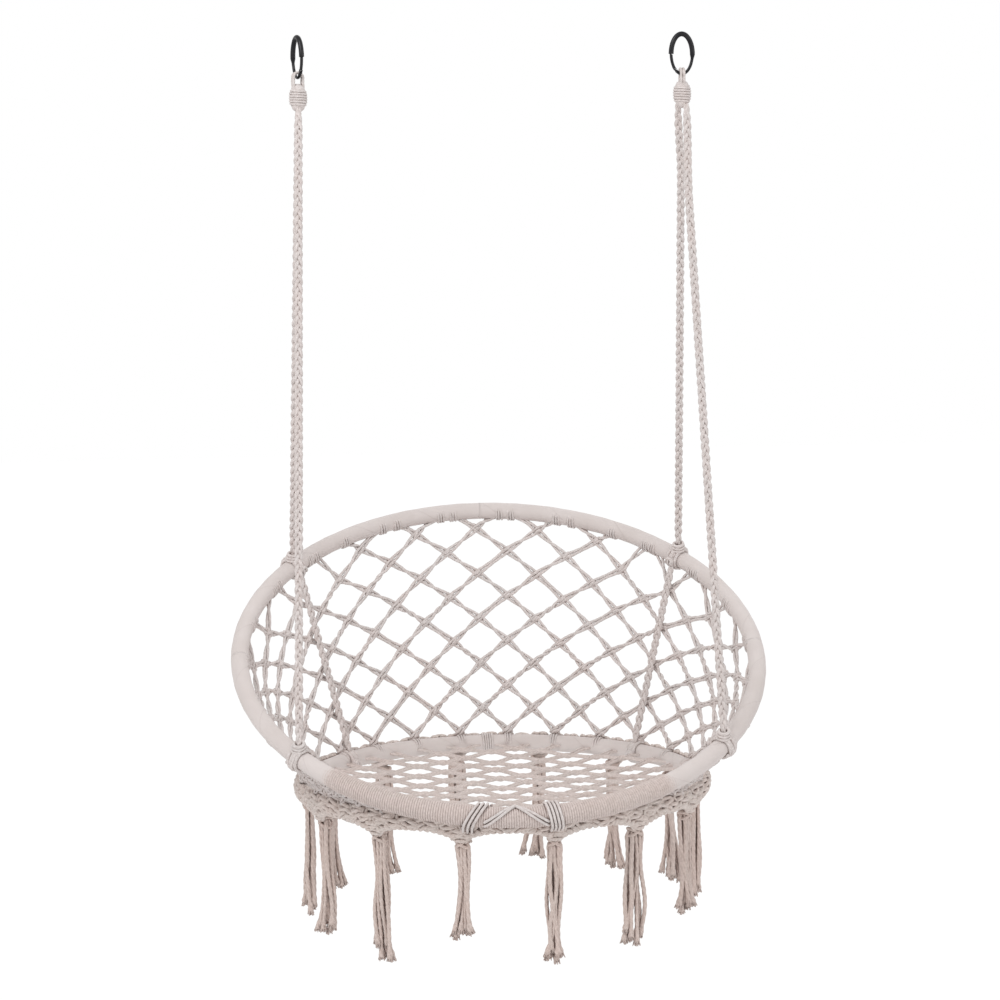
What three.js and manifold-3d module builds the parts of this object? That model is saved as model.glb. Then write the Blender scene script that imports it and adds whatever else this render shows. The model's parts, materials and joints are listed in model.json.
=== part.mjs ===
// Hanging hammock chair: a large tilted hoop and a level seat hoop, joined by knotted
// cotton nets and hung by four braided ropes from two snap links.
// Millimetres, +Z up, +X right, and the front looks along -Y.
// The origin is the middle of the hang line, where the ceiling hooks bear in the snap links.
import * as THREE from 'three'
import { mergeVertices } from 'three/addons/utils/BufferGeometryUtils.js'
import Module from 'manifold-3d'

const wasm = await Module()
wasm.setup()

const { degToRad } = THREE.MathUtils
const fullTurn = 2 * Math.PI
const half = 0.5

// The gap that touching pieces keep
const fitGap = 0.3

// Hoops
const largeHoopDiameter = 800
const seatHoopDiameter = 604
const wrappedTubeDiameter = 26
const steelTubeDiameter = 16
const steelTubeWall = 1.2
const hoopTilt = degToRad(27)
const seatHoopSetback = 25
const seatHoopDrop = 13
const wrapSeam = 0.4
const largeHoopSteps = 40
const seatHoopSteps = 32
const wrapStrips = 4
const wrapSides = 8
const steelTubeSides = 6

// Fine cord wound round the front of the large hoop
const windingThickness = 1.8
const windingFirstStep = -5
const windingLastStep = 4

// Two cord ties that lash both hoops together at the front, each above a tassel
const tieCordDiameter = 4
const leftTieOffset = 62
const leftTieLoops = 3
const leftTieLean = degToRad(36)
const rightTieOffset = 46
const rightTieLoops = 4
const rightTieLean = degToRad(-12)
const tieSlack = 0.9
const tieLoopGap = 0.9
const tieTail = 5
const tieSides = 6
const tieLargeSteps = 8
const tieSeatSteps = 6

// Hanging ropes
const ropeDiameter = 13
const ropeAngle = degToRad(51.6)
const hitchDiameter = 42
const hitchWidth = 26
const seatKnotDiameter = 37
const seatKnotWidth = 24
const tailGap = 1.2
const ropeSides = 8
const domeSteps = 4
const knotSegments = 12
const knotRings = 8

// Rope eyes on the snap links
const eyeSpan = 564
const hangRise = 1030
const hangSetback = 333.7
const eyeCordDiameter = 8.5
const eyeSlack = 0.85
const eyeLeg = 16
const eyeSteps = 8
const collarDiameter = 27
const collarNeckDiameter = 22
const collarHeight = 26
const collarBevel = 4
const collarSides = 12

// Snap links
const linkHeight = 64
const linkWidth = 39
const linkArchDiameter = 7.5
const linkRodDiameter = 4.5
const linkYaws = { left: degToRad(113), right: 0 }
const noseAngle = degToRad(-90)
const hingeAngle = degToRad(-139)
const archEndAngle = degToRad(90)
const rodStartAngle = degToRad(106)
const linkSteps = 22
const gateSteps = 4
const linkSides = 8
const noseGap = 0.35
const tongueThickness = 1.6
const gateSlotWidth = 2.3
const gateSlotLength = 9
const lapLength = 3.6
const lapEnd = 2.1
const gatePinDiameter = 1.5
const gatePinLength = 5.2
const gatePinHole = 1.8
const gateSpringDiameter = 1.6
const gateSpringLength = 4
const pinSides = 8

// Knotted nets
const patternTurn = degToRad(-3.2)
const netCordWidth = 6.4
const netCordDepth = 5.2
const backNetColumns = 24
const backNetRowRise = 35
const backNetFootRise = 10
const backNetHeadRoom = 13
const backNetFrontAngle = degToRad(24)
const seatNetHalfPitchX = 40
const seatNetHalfPitchY = 28.5
const seatNetEdgeRoom = 10
const seatNetSag = 12
const netEndShare = 0.85
const knotSpreadShare = 1.8

// Fringe
const tasselCount = 14
const fringeThickness = 8
const fringeTipDepth = 13
const fringeValleyDepth = 8.5
const tasselLength = 172
const tasselKnotDiameter = 24
const tasselNeckDiameter = 19
const tasselSkirtDiameter = 34
const tasselKnotHeight = 15
const tasselNeckHeight = 20
const tasselFullHeight = 62
const tasselHemHeight = 5
const tasselSides = 10
const tasselLengthShares = [1.07, 0.99, 0.93, 0.96, 0.98, 1.01, 0.99, 0.82, 1.01, 1.07, 1, 1.02, 1.09, 0.87]

// Worked out from the sizes above
const wrapRadius = wrappedTubeDiameter / 2
const steelTubeRadius = steelTubeDiameter / 2
const windingRadius = wrapRadius + fitGap + windingThickness
const ropeRadius = ropeDiameter / 2
const hitchRadius = hitchDiameter / 2
const eyeCordRadius = eyeCordDiameter / 2
const linkArchRadius = linkArchDiameter / 2
const linkRodRadius = linkRodDiameter / 2
const linkHalfWidth = (linkWidth - linkArchDiameter) / 2
const linkHalfHeight = (linkHeight - linkArchRadius - linkRodRadius) / 2
const hookBearingRise = 2 * linkHalfHeight - linkArchRadius

// Materials
const cottonWrap = new THREE.MeshStandardMaterial({ color: 0xd9cdc8, roughness: 0.92, metalness: 0 })
const cottonCord = new THREE.MeshStandardMaterial({ color: 0xcdc0b9, roughness: 0.95, metalness: 0 })
const bareSteel = new THREE.MeshStandardMaterial({ color: 0x9a9c9e, roughness: 0.4, metalness: 1 })
const blackSteel = new THREE.MeshStandardMaterial({ color: 0x17181a, roughness: 0.35, metalness: 0.8 })

const part = new THREE.Group()

// Everything below the snap links stands in the frame of the large hoop's front point
const chair = new THREE.Group()
chair.position.set(0, -hangSetback, -hookBearingRise - hangRise)
part.add(chair)

function addPiece(parent, name, geometry, material) {
  const mesh = new THREE.Mesh(geometry, material)
  mesh.name = name
  parent.add(mesh)
  return mesh
}

// Closed bodies from rows of points

function geometryFrom(points, triangles) {
  const geometry = new THREE.BufferGeometry()
  geometry.setAttribute('position', new THREE.Float32BufferAttribute(points.flatMap((p) => p.toArray()), 3))
  geometry.setIndex(triangles.flat())
  geometry.computeVertexNormals()
  return geometry
}

// Joins rings of points that run anticlockwise about the way of travel
function loft(rings, closed = false) {
  const sides = rings[0].length
  const triangles = []
  const spans = closed ? rings.length : rings.length - 1
  for (let span = 0; span < spans; span += 1) {
    const here = span * sides
    const next = ((span + 1) % rings.length) * sides
    for (let side = 0; side < sides; side += 1) {
      const turn = (side + 1) % sides
      triangles.push([here + side, here + turn, next + turn], [here + side, next + turn, next + side])
    }
  }
  if (!closed) {
    const last = (rings.length - 1) * sides
    for (let side = 1; side < sides - 1; side += 1) {
      triangles.push([0, side + 1, side], [last, last + side, last + side + 1])
    }
  }
  return geometryFrom(rings.flat(), triangles)
}

// Joins an outer and an inner row of rings into an open-ended sleeve
function sleeve(outer, inner) {
  const sides = outer[0].length
  const innerStart = outer.length * sides
  const lastRing = (outer.length - 1) * sides
  const triangles = []
  for (let side = 0; side < sides; side += 1) {
    const turn = (side + 1) % sides
    for (let here = 0; here < lastRing; here += sides) {
      const next = here + sides
      const a = innerStart + here
      const b = innerStart + next
      triangles.push([here + side, here + turn, next + turn], [here + side, next + turn, next + side])
      triangles.push([a + side, b + turn, a + turn], [a + side, b + side, b + turn])
    }
    const c = innerStart + lastRing
    triangles.push([side, innerStart + side, innerStart + turn], [side, innerStart + turn, turn])
    triangles.push([lastRing + side, c + turn, c + side], [lastRing + side, lastRing + turn, c + turn])
  }
  return geometryFrom([...outer.flat(), ...inner.flat()], triangles)
}

function circle(centre, first, second, radius, sides) {
  return Array.from({ length: sides }, (_, side) => {
    const angle = fullTurn * side / sides
    return centre.clone()
      .addScaledVector(first, radius * Math.cos(angle))
      .addScaledVector(second, radius * Math.sin(angle))
  })
}

// Two directions square to the given one and to each other
function squareTo(direction) {
  const guide = Math.abs(direction.x) < half ? new THREE.Vector3(1, 0, 0) : new THREE.Vector3(0, 1, 0)
  const first = new THREE.Vector3().crossVectors(guide, direction).normalize()
  return [first, new THREE.Vector3().crossVectors(direction, first)]
}

// A bar from one point to another, with its ends domed about those points or flat at them
function bar(start, end, radius, sides, domes) {
  const direction = end.clone().sub(start).normalize()
  const [first, second] = squareTo(direction)
  const rings = []
  for (let step = domes ? 1 : domeSteps; step <= domeSteps; step += 1) {
    const lift = degToRad(90) * step / domeSteps
    const centre = start.clone().addScaledVector(direction, domes ? -radius * Math.cos(lift) : 0)
    rings.push(circle(centre, first, second, radius * Math.sin(lift), sides))
  }
  for (let step = domeSteps; step >= (domes ? 1 : domeSteps); step -= 1) {
    const lift = degToRad(90) * step / domeSteps
    const centre = end.clone().addScaledVector(direction, domes ? radius * Math.cos(lift) : 0)
    rings.push(circle(centre, first, second, radius * Math.sin(lift), sides))
  }
  return loft(rings)
}

// A tube along points, each ring square to the path there
function tubeAlong(points, radius, sides, up) {
  const rings = points.map((point, index) => {
    const before = points[Math.max(index - 1, 0)]
    const after = points[Math.min(index + 1, points.length - 1)]
    const direction = after.clone().sub(before).normalize()
    const first = new THREE.Vector3().crossVectors(up, direction).normalize()
    const second = new THREE.Vector3().crossVectors(direction, first)
    return circle(point, first, second, radius, sides)
  })
  return loft(rings)
}

function lathe(profile, sides) {
  const points = profile.map(([radius, height]) => new THREE.Vector2(radius, height))
  const geometry = new THREE.LatheGeometry(points, sides)
  geometry.rotateX(degToRad(90))
  return geometry
}

// Joins and cuts

function toSolid(geometry) {
  const bare = geometry.clone()
  bare.deleteAttribute('normal')
  bare.deleteAttribute('uv')
  const merged = mergeVertices(bare)
  const mesh = new wasm.Mesh({
    numProp: 3,
    vertProperties: new Float32Array(merged.attributes.position.array),
    triVerts: new Uint32Array(merged.index.array),
  })
  return new wasm.Manifold(mesh)
}

function toGeometry(solid) {
  const mesh = solid.getMesh()
  const geometry = new THREE.BufferGeometry()
  geometry.setAttribute('position', new THREE.BufferAttribute(new Float32Array(mesh.vertProperties), 3))
  geometry.setIndex(new THREE.BufferAttribute(new Uint32Array(mesh.triVerts), 1))
  geometry.computeVertexNormals()
  return geometry
}

// Hoops

function makeHoop(diameter, frontPoint, tilt, steps) {
  const radius = (diameter - wrappedTubeDiameter) / 2
  const axis = new THREE.Vector3(0, -Math.sin(tilt), Math.cos(tilt))
  const back = new THREE.Vector3(0, Math.cos(tilt), Math.sin(tilt))
  const centre = frontPoint.clone().addScaledVector(back, radius)
  const outward = (angle) => new THREE.Vector3(Math.sin(angle), 0, 0).addScaledVector(back, -Math.cos(angle))
  const point = (angle) => centre.clone().addScaledVector(outward(angle), radius)
  const corners = Array.from({ length: steps }, (_, step) => point(fullTurn * step / steps))
  const section = (step, sectionRadius, sides, shift = 0) => {
    const angle = fullTurn * step / steps
    const along = new THREE.Vector3().crossVectors(axis, outward(angle))
    const middle = point(angle).addScaledVector(along, shift)
    return circle(middle, axis, outward(angle), sectionRadius, sides)
  }
  return { radius, axis, centre, outward, point, corners, section, steps }
}

const largeHoop = makeHoop(largeHoopDiameter, new THREE.Vector3(0, 0, 0), hoopTilt, largeHoopSteps)
const seatHoopFront = new THREE.Vector3(0, seatHoopSetback, -seatHoopDrop)
const seatHoop = makeHoop(seatHoopDiameter, seatHoopFront, 0, seatHoopSteps)

function hoopSleeve(hoop, firstStep, lastStep, outerRadius, innerRadius, sides = wrapSides) {
  const outer = []
  const inner = []
  for (let step = firstStep; step <= lastStep; step += 1) {
    const shift = step === firstStep ? wrapSeam / 2 : step === lastStep ? -wrapSeam / 2 : 0
    outer.push(hoop.section(step, outerRadius, sides, shift))
    inner.push(hoop.section(step, innerRadius, sides, shift))
  }
  return sleeve(outer, inner)
}

// The narrow way across a bore with flat sides clears the piece inside it
const flatSideShare = Math.cos(Math.PI / wrapSides)
const wrapBoreRadius = (steelTubeRadius + fitGap) / flatSideShare
const windingBoreRadius = wrapRadius + fitGap / flatSideShare

for (const [name, hoop] of [['large_hoop', largeHoop], ['seat_hoop', seatHoop]]) {
  const tubeBore = steelTubeRadius - steelTubeWall
  const tube = hoopSleeve(hoop, 0, hoop.steps, steelTubeRadius, tubeBore, steelTubeSides)
  addPiece(chair, `${name}_steel_tube`, tube, bareSteel)
  const stripSteps = hoop.steps / wrapStrips
  for (let strip = 0; strip < wrapStrips; strip += 1) {
    const wrap = hoopSleeve(hoop, strip * stripSteps, (strip + 1) * stripSteps, wrapRadius, wrapBoreRadius)
    addPiece(chair, `${name}_wrap_${strip + 1}`, wrap, cottonWrap)
  }
}

const winding = hoopSleeve(largeHoop, windingFirstStep, windingLastStep, windingRadius, windingBoreRadius)
addPiece(chair, 'front_winding', winding, cottonWrap)

// Where a hoop's straight-sided middle line crosses a given X at the front
function frontMiddle(hoop, x) {
  const stepAngle = fullTurn / hoop.steps
  const step = Math.floor(Math.asin(x / hoop.radius) / stepAngle)
  const from = hoop.point(step * stepAngle)
  const to = hoop.point((step + 1) * stepAngle)
  return from.lerp(to, (x - from.x) / (to.x - from.x))
}

// How far a cord's middle keeps from a hoop's middle line, measured square to X
function tieReach(hoop, sleeveRadius, x) {
  return (sleeveRadius + tieSlack + tieCordDiameter / 2) / Math.sqrt(1 - (x / hoop.radius) ** 2)
}

const tieLoopSteps = tieLargeSteps + tieSeatSteps + 2
const frontTies = [
  { name: 'left_front_tie', offset: -leftTieOffset, loops: leftTieLoops, lean: leftTieLean },
  { name: 'right_front_tie', offset: rightTieOffset, loops: rightTieLoops, lean: rightTieLean },
]
for (const tie of frontTies) {
  tie.pitch = (tieCordDiameter + tieLoopGap) / Math.cos(tie.lean)
  tie.shiftAt = (rise) => rise * Math.tan(tie.lean)
}

// Loops of cord round both hoops, drawn tight between them and leaning to one side
function tieRoute(tie) {
  const pointAt = (step, x) => {
    const large = frontMiddle(largeHoop, x)
    const seat = frontMiddle(seatHoop, x)
    const largeReach = tieReach(largeHoop, windingRadius, x)
    const seatReach = tieReach(seatHoop, wrapRadius, x)
    const across = seat.clone().sub(large)
    const tangentAngle = Math.acos((largeReach - seatReach) / across.length())
    across.normalize()
    const upward = new THREE.Vector3(1, 0, 0).cross(across)
    const place = step % tieLoopSteps
    const onLarge = place <= tieLargeSteps
    const share = onLarge ? place / tieLargeSteps : (place - tieLargeSteps - 1) / tieSeatSteps
    const angle = onLarge
      ? tangentAngle + share * (fullTurn - 2 * tangentAngle)
      : (2 * share - 1) * tangentAngle
    const reach = onLarge ? largeReach : seatReach
    const rise = reach * Math.sin(angle)
    const point = (onLarge ? large : seat)
      .addScaledVector(across, reach * Math.cos(angle))
      .addScaledVector(upward, rise)
    return { rise, point }
  }
  const startX = tie.offset - tie.pitch * tie.loops / 2
  const route = []
  for (let step = 0; step <= tie.loops * tieLoopSteps; step += 1) {
    const x = startX + tie.pitch * step / tieLoopSteps
    const shift = tie.shiftAt(pointAt(step, x).rise)
    route.push(pointAt(step, x + shift).point)
  }
  const last = route[route.length - 1]
  const before = route[route.length - 2]
  route.push(last.clone().addScaledVector(last.clone().sub(before).normalize(), tieTail))
  return route
}

// Least distance between the surfaces of loops that lie side by side
function leastLoopGap(route, loopSteps, diameter) {
  const closest = new THREE.Vector3()
  let least = Infinity
  route.forEach((point, index) => {
    for (let other = index + loopSteps / 2; other < route.length - 1; other += 1) {
      new THREE.Line3(route[other], route[other + 1]).closestPointToPoint(point, true, closest)
      least = Math.min(least, closest.distanceTo(point))
    }
  })
  return least - diameter
}

const alongHoop = new THREE.Vector3(1, 0, 0)
for (const tie of frontTies) {
  const route = tieRoute(tie)
  const gap = leastLoopGap(route, tieLoopSteps, tieCordDiameter)
  console.log(`${tie.name}: least gap between loops ${gap.toFixed(2)} mm`)
  addPiece(chair, tie.name, tubeAlong(route, tieCordDiameter / 2, tieSides, alongHoop), cottonCord)
}

// Knots where the ropes are tied round the hoops

function knotAt(hoop, angle, diameter, width) {
  const along = new THREE.Vector3().crossVectors(hoop.axis, hoop.outward(angle))
  return { hoop, angle, centre: hoop.point(angle), along, radius: diameter / 2, halfWidth: width / 2 }
}

function knotSolid(knot, growth = 0) {
  const ball = new THREE.SphereGeometry(1, knotSegments, knotRings)
  ball.applyMatrix4(new THREE.Matrix4().makeBasis(
    knot.hoop.outward(knot.angle).multiplyScalar(knot.radius + growth),
    knot.along.clone().multiplyScalar(knot.halfWidth + growth),
    knot.hoop.axis.clone().multiplyScalar(knot.radius + growth),
  ))
  ball.translate(...knot.centre.toArray())
  return toSolid(ball)
}

// The wrapped tube near a knot, grown by the gap
function tubeNear(knot) {
  const stepAngle = fullTurn / knot.hoop.steps
  const middle = Math.round(knot.angle / stepAngle)
  const sections = []
  for (let step = middle - 2; step <= middle + 2; step += 1) {
    sections.push(knot.hoop.section(step, wrapRadius + fitGap / flatSideShare, wrapSides))
  }
  return toSolid(loft(sections))
}

const ropeKnots = []
for (const [side, sign] of [['left', -1], ['right', 1]]) {
  for (const [end, angle] of [['front', ropeAngle], ['back', Math.PI - ropeAngle]]) {
    const hitch = knotAt(largeHoop, sign * angle, hitchDiameter, hitchWidth)
    const seatKnot = knotAt(seatHoop, sign * angle, seatKnotDiameter, seatKnotWidth)
    ropeKnots.push({ name: `${side}_${end}_hitch`, knot: hitch })
    ropeKnots.push({ name: `${side}_${end}_seat_knot`, knot: seatKnot })
  }
}
for (const { name, knot } of ropeKnots) {
  addPiece(chair, name, toGeometry(knotSolid(knot).subtract(tubeNear(knot))), cottonCord)
}

// Nets

// The space that a tie takes round the seat hoop
function tieDrum(tie) {
  const drumDiameter = 2 * (tieReach(seatHoop, wrapRadius, tie.offset) + tieCordDiameter / 2)
  const width = tie.pitch * (tie.loops + 1) + 2 * Math.abs(tie.shiftAt(netCordDepth))
  const drum = knotAt(seatHoop, Math.asin(tie.offset / seatHoop.radius), drumDiameter, width)
  return { ...drum, centre: frontMiddle(seatHoop, tie.offset), isDrum: true }
}

// What keeps the net cords off the hoops at their ends
const netObstacles = [...ropeKnots.map(({ knot }) => knot), ...frontTies.map(tieDrum)]

function distanceToHoop(hoop, point) {
  const closest = new THREE.Vector3()
  let least = Infinity
  let place = 0
  hoop.corners.forEach((corner, step) => {
    const line = new THREE.Line3(corner, hoop.corners[(step + 1) % hoop.steps])
    line.closestPointToPoint(point, true, closest)
    const distance = closest.distanceTo(point)
    if (distance < least) {
      least = distance
      place = step
    }
  })
  return { least, place }
}

function isNearHoop(point) {
  const large = distanceToHoop(largeHoop, point)
  const wound = large.place < windingLastStep || large.place >= largeHoop.steps + windingFirstStep
  const reach = (wound ? windingRadius : wrapRadius) + fitGap
  return large.least < reach || distanceToHoop(seatHoop, point).least < wrapRadius + fitGap
}

function isNearKnot(point) {
  return netObstacles.some((knot) => {
    const offset = point.clone().sub(knot.centre)
    const along = offset.dot(knot.along)
    const across = Math.sqrt(Math.max(offset.lengthSq() - along * along, 0))
    const alongShare = Math.abs(along) / (knot.halfWidth + fitGap)
    const acrossShare = across / (knot.radius + fitGap)
    return (knot.isDrum ? Math.max(alongShare, acrossShare) : Math.hypot(alongShare, acrossShare)) < 1
  })
}

// How far a point can run along a direction before it is blocked
const searchStep = 1
const searchHalvings = 12
function freeRun(start, direction, reach, isBlocked) {
  const blockedAt = (run) => isBlocked(start.clone().addScaledVector(direction, run))
  let free = 0
  while (free + searchStep < reach && !blockedAt(free + searchStep)) free += searchStep
  let blocked = Math.min(free + searchStep, reach)
  for (let halving = 0; halving < searchHalvings; halving += 1) {
    const middle = (free + blocked) / 2
    if (blockedAt(middle)) blocked = middle
    else free = middle
  }
  return free
}

// One closed body from knots and the cords between them or out to a hoop.
// Every knot has corners between its cords, above and below, and each cord joins two pairs.
function netGeometry(knots) {
  const points = []
  const triangles = []
  const quad = (a, b, c, d) => triangles.push([a, b, c], [a, c, d])
  const addPoint = (point) => points.push(point) - 1
  const rise = netCordDepth / 2
  for (const knot of knots.values()) {
    const first = knot.links[0].towards.clone().sub(knot.place).projectOnPlane(knot.normal).normalize()
    const second = new THREE.Vector3().crossVectors(knot.normal, first)
    for (const link of knot.links) {
      const way = link.towards.clone().sub(knot.place)
      link.turn = (Math.atan2(way.dot(second), way.dot(first)) + fullTurn) % fullTurn
    }
    knot.links[0].turn = 0
    knot.links.sort((a, b) => a.turn - b.turn)
    knot.corners = knot.links.map((link, index) => {
      const next = knot.links[(index + 1) % knot.links.length]
      const spread = (next.turn - link.turn + fullTurn) % fullTurn
      const middle = link.turn + spread / 2
      const reach = netCordWidth / 2 * Math.min(1 / Math.sin(spread / 2), knotSpreadShare)
      const corner = knot.place.clone()
        .addScaledVector(first, reach * Math.cos(middle))
        .addScaledVector(second, reach * Math.sin(middle))
      const top = corner.clone().addScaledVector(knot.normal, rise)
      const bottom = corner.clone().addScaledVector(knot.normal, -rise)
      return { top: addPoint(top), bottom: addPoint(bottom) }
    })
    for (let index = 1; index < knot.corners.length - 1; index += 1) {
      const [a, b, c] = [knot.corners[0], knot.corners[index], knot.corners[index + 1]]
      triangles.push([a.top, b.top, c.top], [a.bottom, c.bottom, b.bottom])
    }
  }
  const cornersOf = (knot, link) => {
    const index = knot.links.indexOf(link)
    const count = knot.links.length
    return { left: knot.corners[index], right: knot.corners[(index + count - 1) % count] }
  }
  for (const [key, knot] of knots) {
    for (const link of knot.links) {
      const near = cornersOf(knot, link)
      let far
      if (link.to === undefined) {
        const way = link.towards.clone().sub(knot.place)
        const reach = way.length()
        way.normalize()
        const corners = [near.left.top, near.left.bottom, near.right.top, near.right.bottom]
        const stop = Math.min(...corners.map((corner) => freeRun(points[corner], way, reach, isNearKnot)))
        const end = (corner) => {
          const run = freeRun(points[corner], way, stop, isNearHoop)
          return addPoint(points[corner].clone().addScaledVector(way, run))
        }
        far = {
          left: { top: end(near.left.top), bottom: end(near.left.bottom) },
          right: { top: end(near.right.top), bottom: end(near.right.bottom) },
        }
        quad(far.right.bottom, far.left.bottom, far.left.top, far.right.top)
      } else {
        if (link.to < key) continue
        const other = knots.get(link.to)
        const seen = cornersOf(other, other.links.find((back) => back.to === key))
        far = { left: seen.right, right: seen.left }
      }
      quad(near.right.top, far.right.top, far.left.top, near.left.top)
      quad(near.left.bottom, far.left.bottom, far.right.bottom, near.right.bottom)
      quad(near.left.top, far.left.top, far.left.bottom, near.left.bottom)
      quad(near.right.bottom, far.right.bottom, far.right.top, near.right.top)
    }
  }
  return geometryFrom(points, triangles)
}

// The back net lies on the straight lines from the seat hoop to the large hoop
const backNetLine = (angle) => {
  const foot = seatHoop.point(angle)
  const way = largeHoop.point(angle).sub(foot)
  const rise = way.length() - 2 * wrapRadius
  way.normalize()
  return { foot, way, rise, at: (height) => foot.clone().addScaledVector(way, wrapRadius + height) }
}

function backNetNormal(angle, height) {
  const small = degToRad(1)
  const along = backNetLine(angle + small).at(height).sub(backNetLine(angle - small).at(height))
  return along.cross(backNetLine(angle).way).normalize()
}

function backNetKnots() {
  const halfColumns = 2 * backNetColumns
  const knots = new Map()
  const angleOf = (halfColumn) => {
    const angle = Math.PI + patternTurn + fullTurn * halfColumn / halfColumns
    return Math.atan2(Math.sin(angle), Math.cos(angle))
  }
  const heightOf = (row) => backNetFootRise + backNetRowRise * row
  const keyOf = (row, halfColumn) => `${row}:${(halfColumn + halfColumns) % halfColumns}`
  const tallest = backNetLine(Math.PI).rise
  for (let row = 0; heightOf(row) < tallest; row += 1) {
    for (let halfColumn = row % 2; halfColumn < halfColumns; halfColumn += 2) {
      const angle = angleOf(halfColumn)
      const line = backNetLine(angle)
      if (Math.abs(angle) < backNetFrontAngle || heightOf(row) + backNetHeadRoom > line.rise) continue
      const place = line.at(heightOf(row))
      const normal = backNetNormal(angle, heightOf(row))
      knots.set(keyOf(row, halfColumn), { row, halfColumn, angle, place, normal })
    }
  }
  // A knot on its own near the front has nothing to hang together with
  for (const [key, knot] of [...knots]) {
    const hasNeighbour = [-1, 1].some((side) => knots.has(keyOf(knot.row + 1, knot.halfColumn + side)))
    if (knot.row === 0 && !hasNeighbour) knots.delete(key)
  }
  for (const [key, knot] of knots) {
    knot.links = []
    for (const side of [-1, 1]) {
      const above = keyOf(knot.row + 1, knot.halfColumn + side)
      const below = keyOf(knot.row - 1, knot.halfColumn + side)
      if (knots.has(above)) {
        knot.links.push({ to: above, towards: knots.get(above).place })
      } else {
        const aboveAngle = angleOf(knot.halfColumn + side)
        const swing = Math.atan2(Math.sin(aboveAngle - knot.angle), Math.cos(aboveAngle - knot.angle))
        let share = netEndShare
        for (let pass = 0; pass < searchHalvings; pass += 1) {
          const room = backNetLine(knot.angle + swing * share).rise + wrapRadius - heightOf(knot.row)
          share = Math.min(netEndShare, (share + room / backNetRowRise) / 2)
        }
        knot.links.push({ towards: largeHoop.point(knot.angle + swing * share) })
      }
      if (knot.row > 0 && knots.has(below)) knot.links.push({ to: below, towards: knots.get(below).place })
    }
    if (knot.row === 0) knot.links.push({ towards: seatHoop.point(knot.angle) })
    if (knot.links.length < 3) throw new Error(`net knot ${key} has too few cords`)
  }
  return knots
}

addPiece(chair, 'back_net', netGeometry(backNetKnots()), cottonCord)

function seatNetKnots() {
  const knots = new Map()
  const innerRadius = seatHoop.radius - wrapRadius
  const keyOf = (column, row) => `${column}:${row}`
  const sideways = (column) => column * seatNetHalfPitchX
  const backways = (row) => row * seatNetHalfPitchY
  const rows = Math.ceil(seatHoop.radius / seatNetHalfPitchY)
  const columns = Math.ceil(seatHoop.radius / seatNetHalfPitchX)
  for (let row = -rows; row <= rows; row += 1) {
    for (let column = -columns; column <= columns; column += 1) {
      const reach = Math.hypot(sideways(column), backways(row))
      if ((row + column) % 2 !== 0 || reach > innerRadius - seatNetEdgeRoom) continue
      const sag = seatNetSag * (1 - (reach / seatHoop.radius) ** 2)
      const place = seatHoop.centre.clone().add(new THREE.Vector3(sideways(column), backways(row), -sag))
      knots.set(keyOf(column, row), { column, row, place, normal: new THREE.Vector3(0, 0, 1) })
    }
  }
  for (const knot of knots.values()) {
    knot.links = []
    const here = Math.atan2(sideways(knot.column), -backways(knot.row))
    for (const [stepX, stepY] of [[1, 1], [-1, 1], [-1, -1], [1, -1]]) {
      const key = keyOf(knot.column + stepX, knot.row + stepY)
      if (knots.has(key)) {
        knot.links.push({ to: key, towards: knots.get(key).place })
      } else {
        const there = Math.atan2(sideways(knot.column + stepX), -backways(knot.row + stepY))
        const swing = Math.atan2(Math.sin(there - here), Math.cos(there - here))
        knot.links.push({ towards: seatHoop.point(here + swing * netEndShare) })
      }
    }
  }
  return knots
}

addPiece(chair, 'seat_net', netGeometry(seatNetKnots()), cottonCord)

// Snap links, rope eyes and ropes

const linkPoint = (angle) => new THREE.Vector3(
  linkHalfWidth * Math.sin(angle),
  0,
  linkHalfHeight + linkHalfHeight * Math.cos(angle),
)
const linkWay = (angle) => new THREE.Vector3(
  linkHalfWidth * Math.cos(angle),
  0,
  -linkHalfHeight * Math.sin(angle),
).normalize()

const hingePlace = linkPoint(hingeAngle)
const hingeWay = linkWay(hingeAngle)
const acrossLink = new THREE.Vector3(0, 1, 0)

// The nose and the gate meet on a face that is square to the line from the hinge
const noseWay = linkPoint(noseAngle).sub(hingePlace).normalize()

function linkSection(place, way, radius) {
  return circle(place, acrossLink.clone().cross(way), acrossLink, radius, linkSides)
}

function linkRadius(angle) {
  const share = THREE.MathUtils.smoothstep(angle, archEndAngle, rodStartAngle)
  return THREE.MathUtils.lerp(linkArchRadius, linkRodRadius, share)
}

// A block square to the hinge's place on the rod, to cut the lap joint
function lapBlock(width, offset, from, to) {
  const block = new THREE.BoxGeometry(linkArchDiameter, width, to - from)
  block.translate(0, offset, (from + to) / 2)
  const across = new THREE.Vector3().crossVectors(acrossLink, hingeWay)
  block.applyMatrix4(new THREE.Matrix4().makeBasis(across, acrossLink, hingeWay).setPosition(hingePlace))
  return toSolid(block)
}

function crossPin(diameter, length) {
  const pin = new THREE.CylinderGeometry(diameter / 2, diameter / 2, length, pinSides)
  pin.translate(...hingePlace.toArray())
  return pin
}

function linkBody() {
  const rings = []
  const first = noseAngle
  const last = fullTurn + hingeAngle
  for (let step = 0; step <= linkSteps; step += 1) {
    const angle = first + (last - first) * step / linkSteps
    const way = step === 0 ? noseWay : linkWay(angle)
    rings.push(linkSection(linkPoint(angle), way, linkRadius(angle)))
  }
  rings.push(linkSection(hingePlace.clone().addScaledVector(hingeWay, lapEnd), hingeWay, linkRodRadius))
  const sideWidth = linkArchDiameter
  const sideOffset = (tongueThickness + sideWidth) / 2
  return toSolid(loft(rings))
    .subtract(lapBlock(sideWidth, sideOffset, -lapLength, linkRodDiameter))
    .subtract(lapBlock(sideWidth, -sideOffset, -lapLength, linkRodDiameter))
    .subtract(toSolid(crossPin(gatePinHole, linkArchDiameter)))
}

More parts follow.
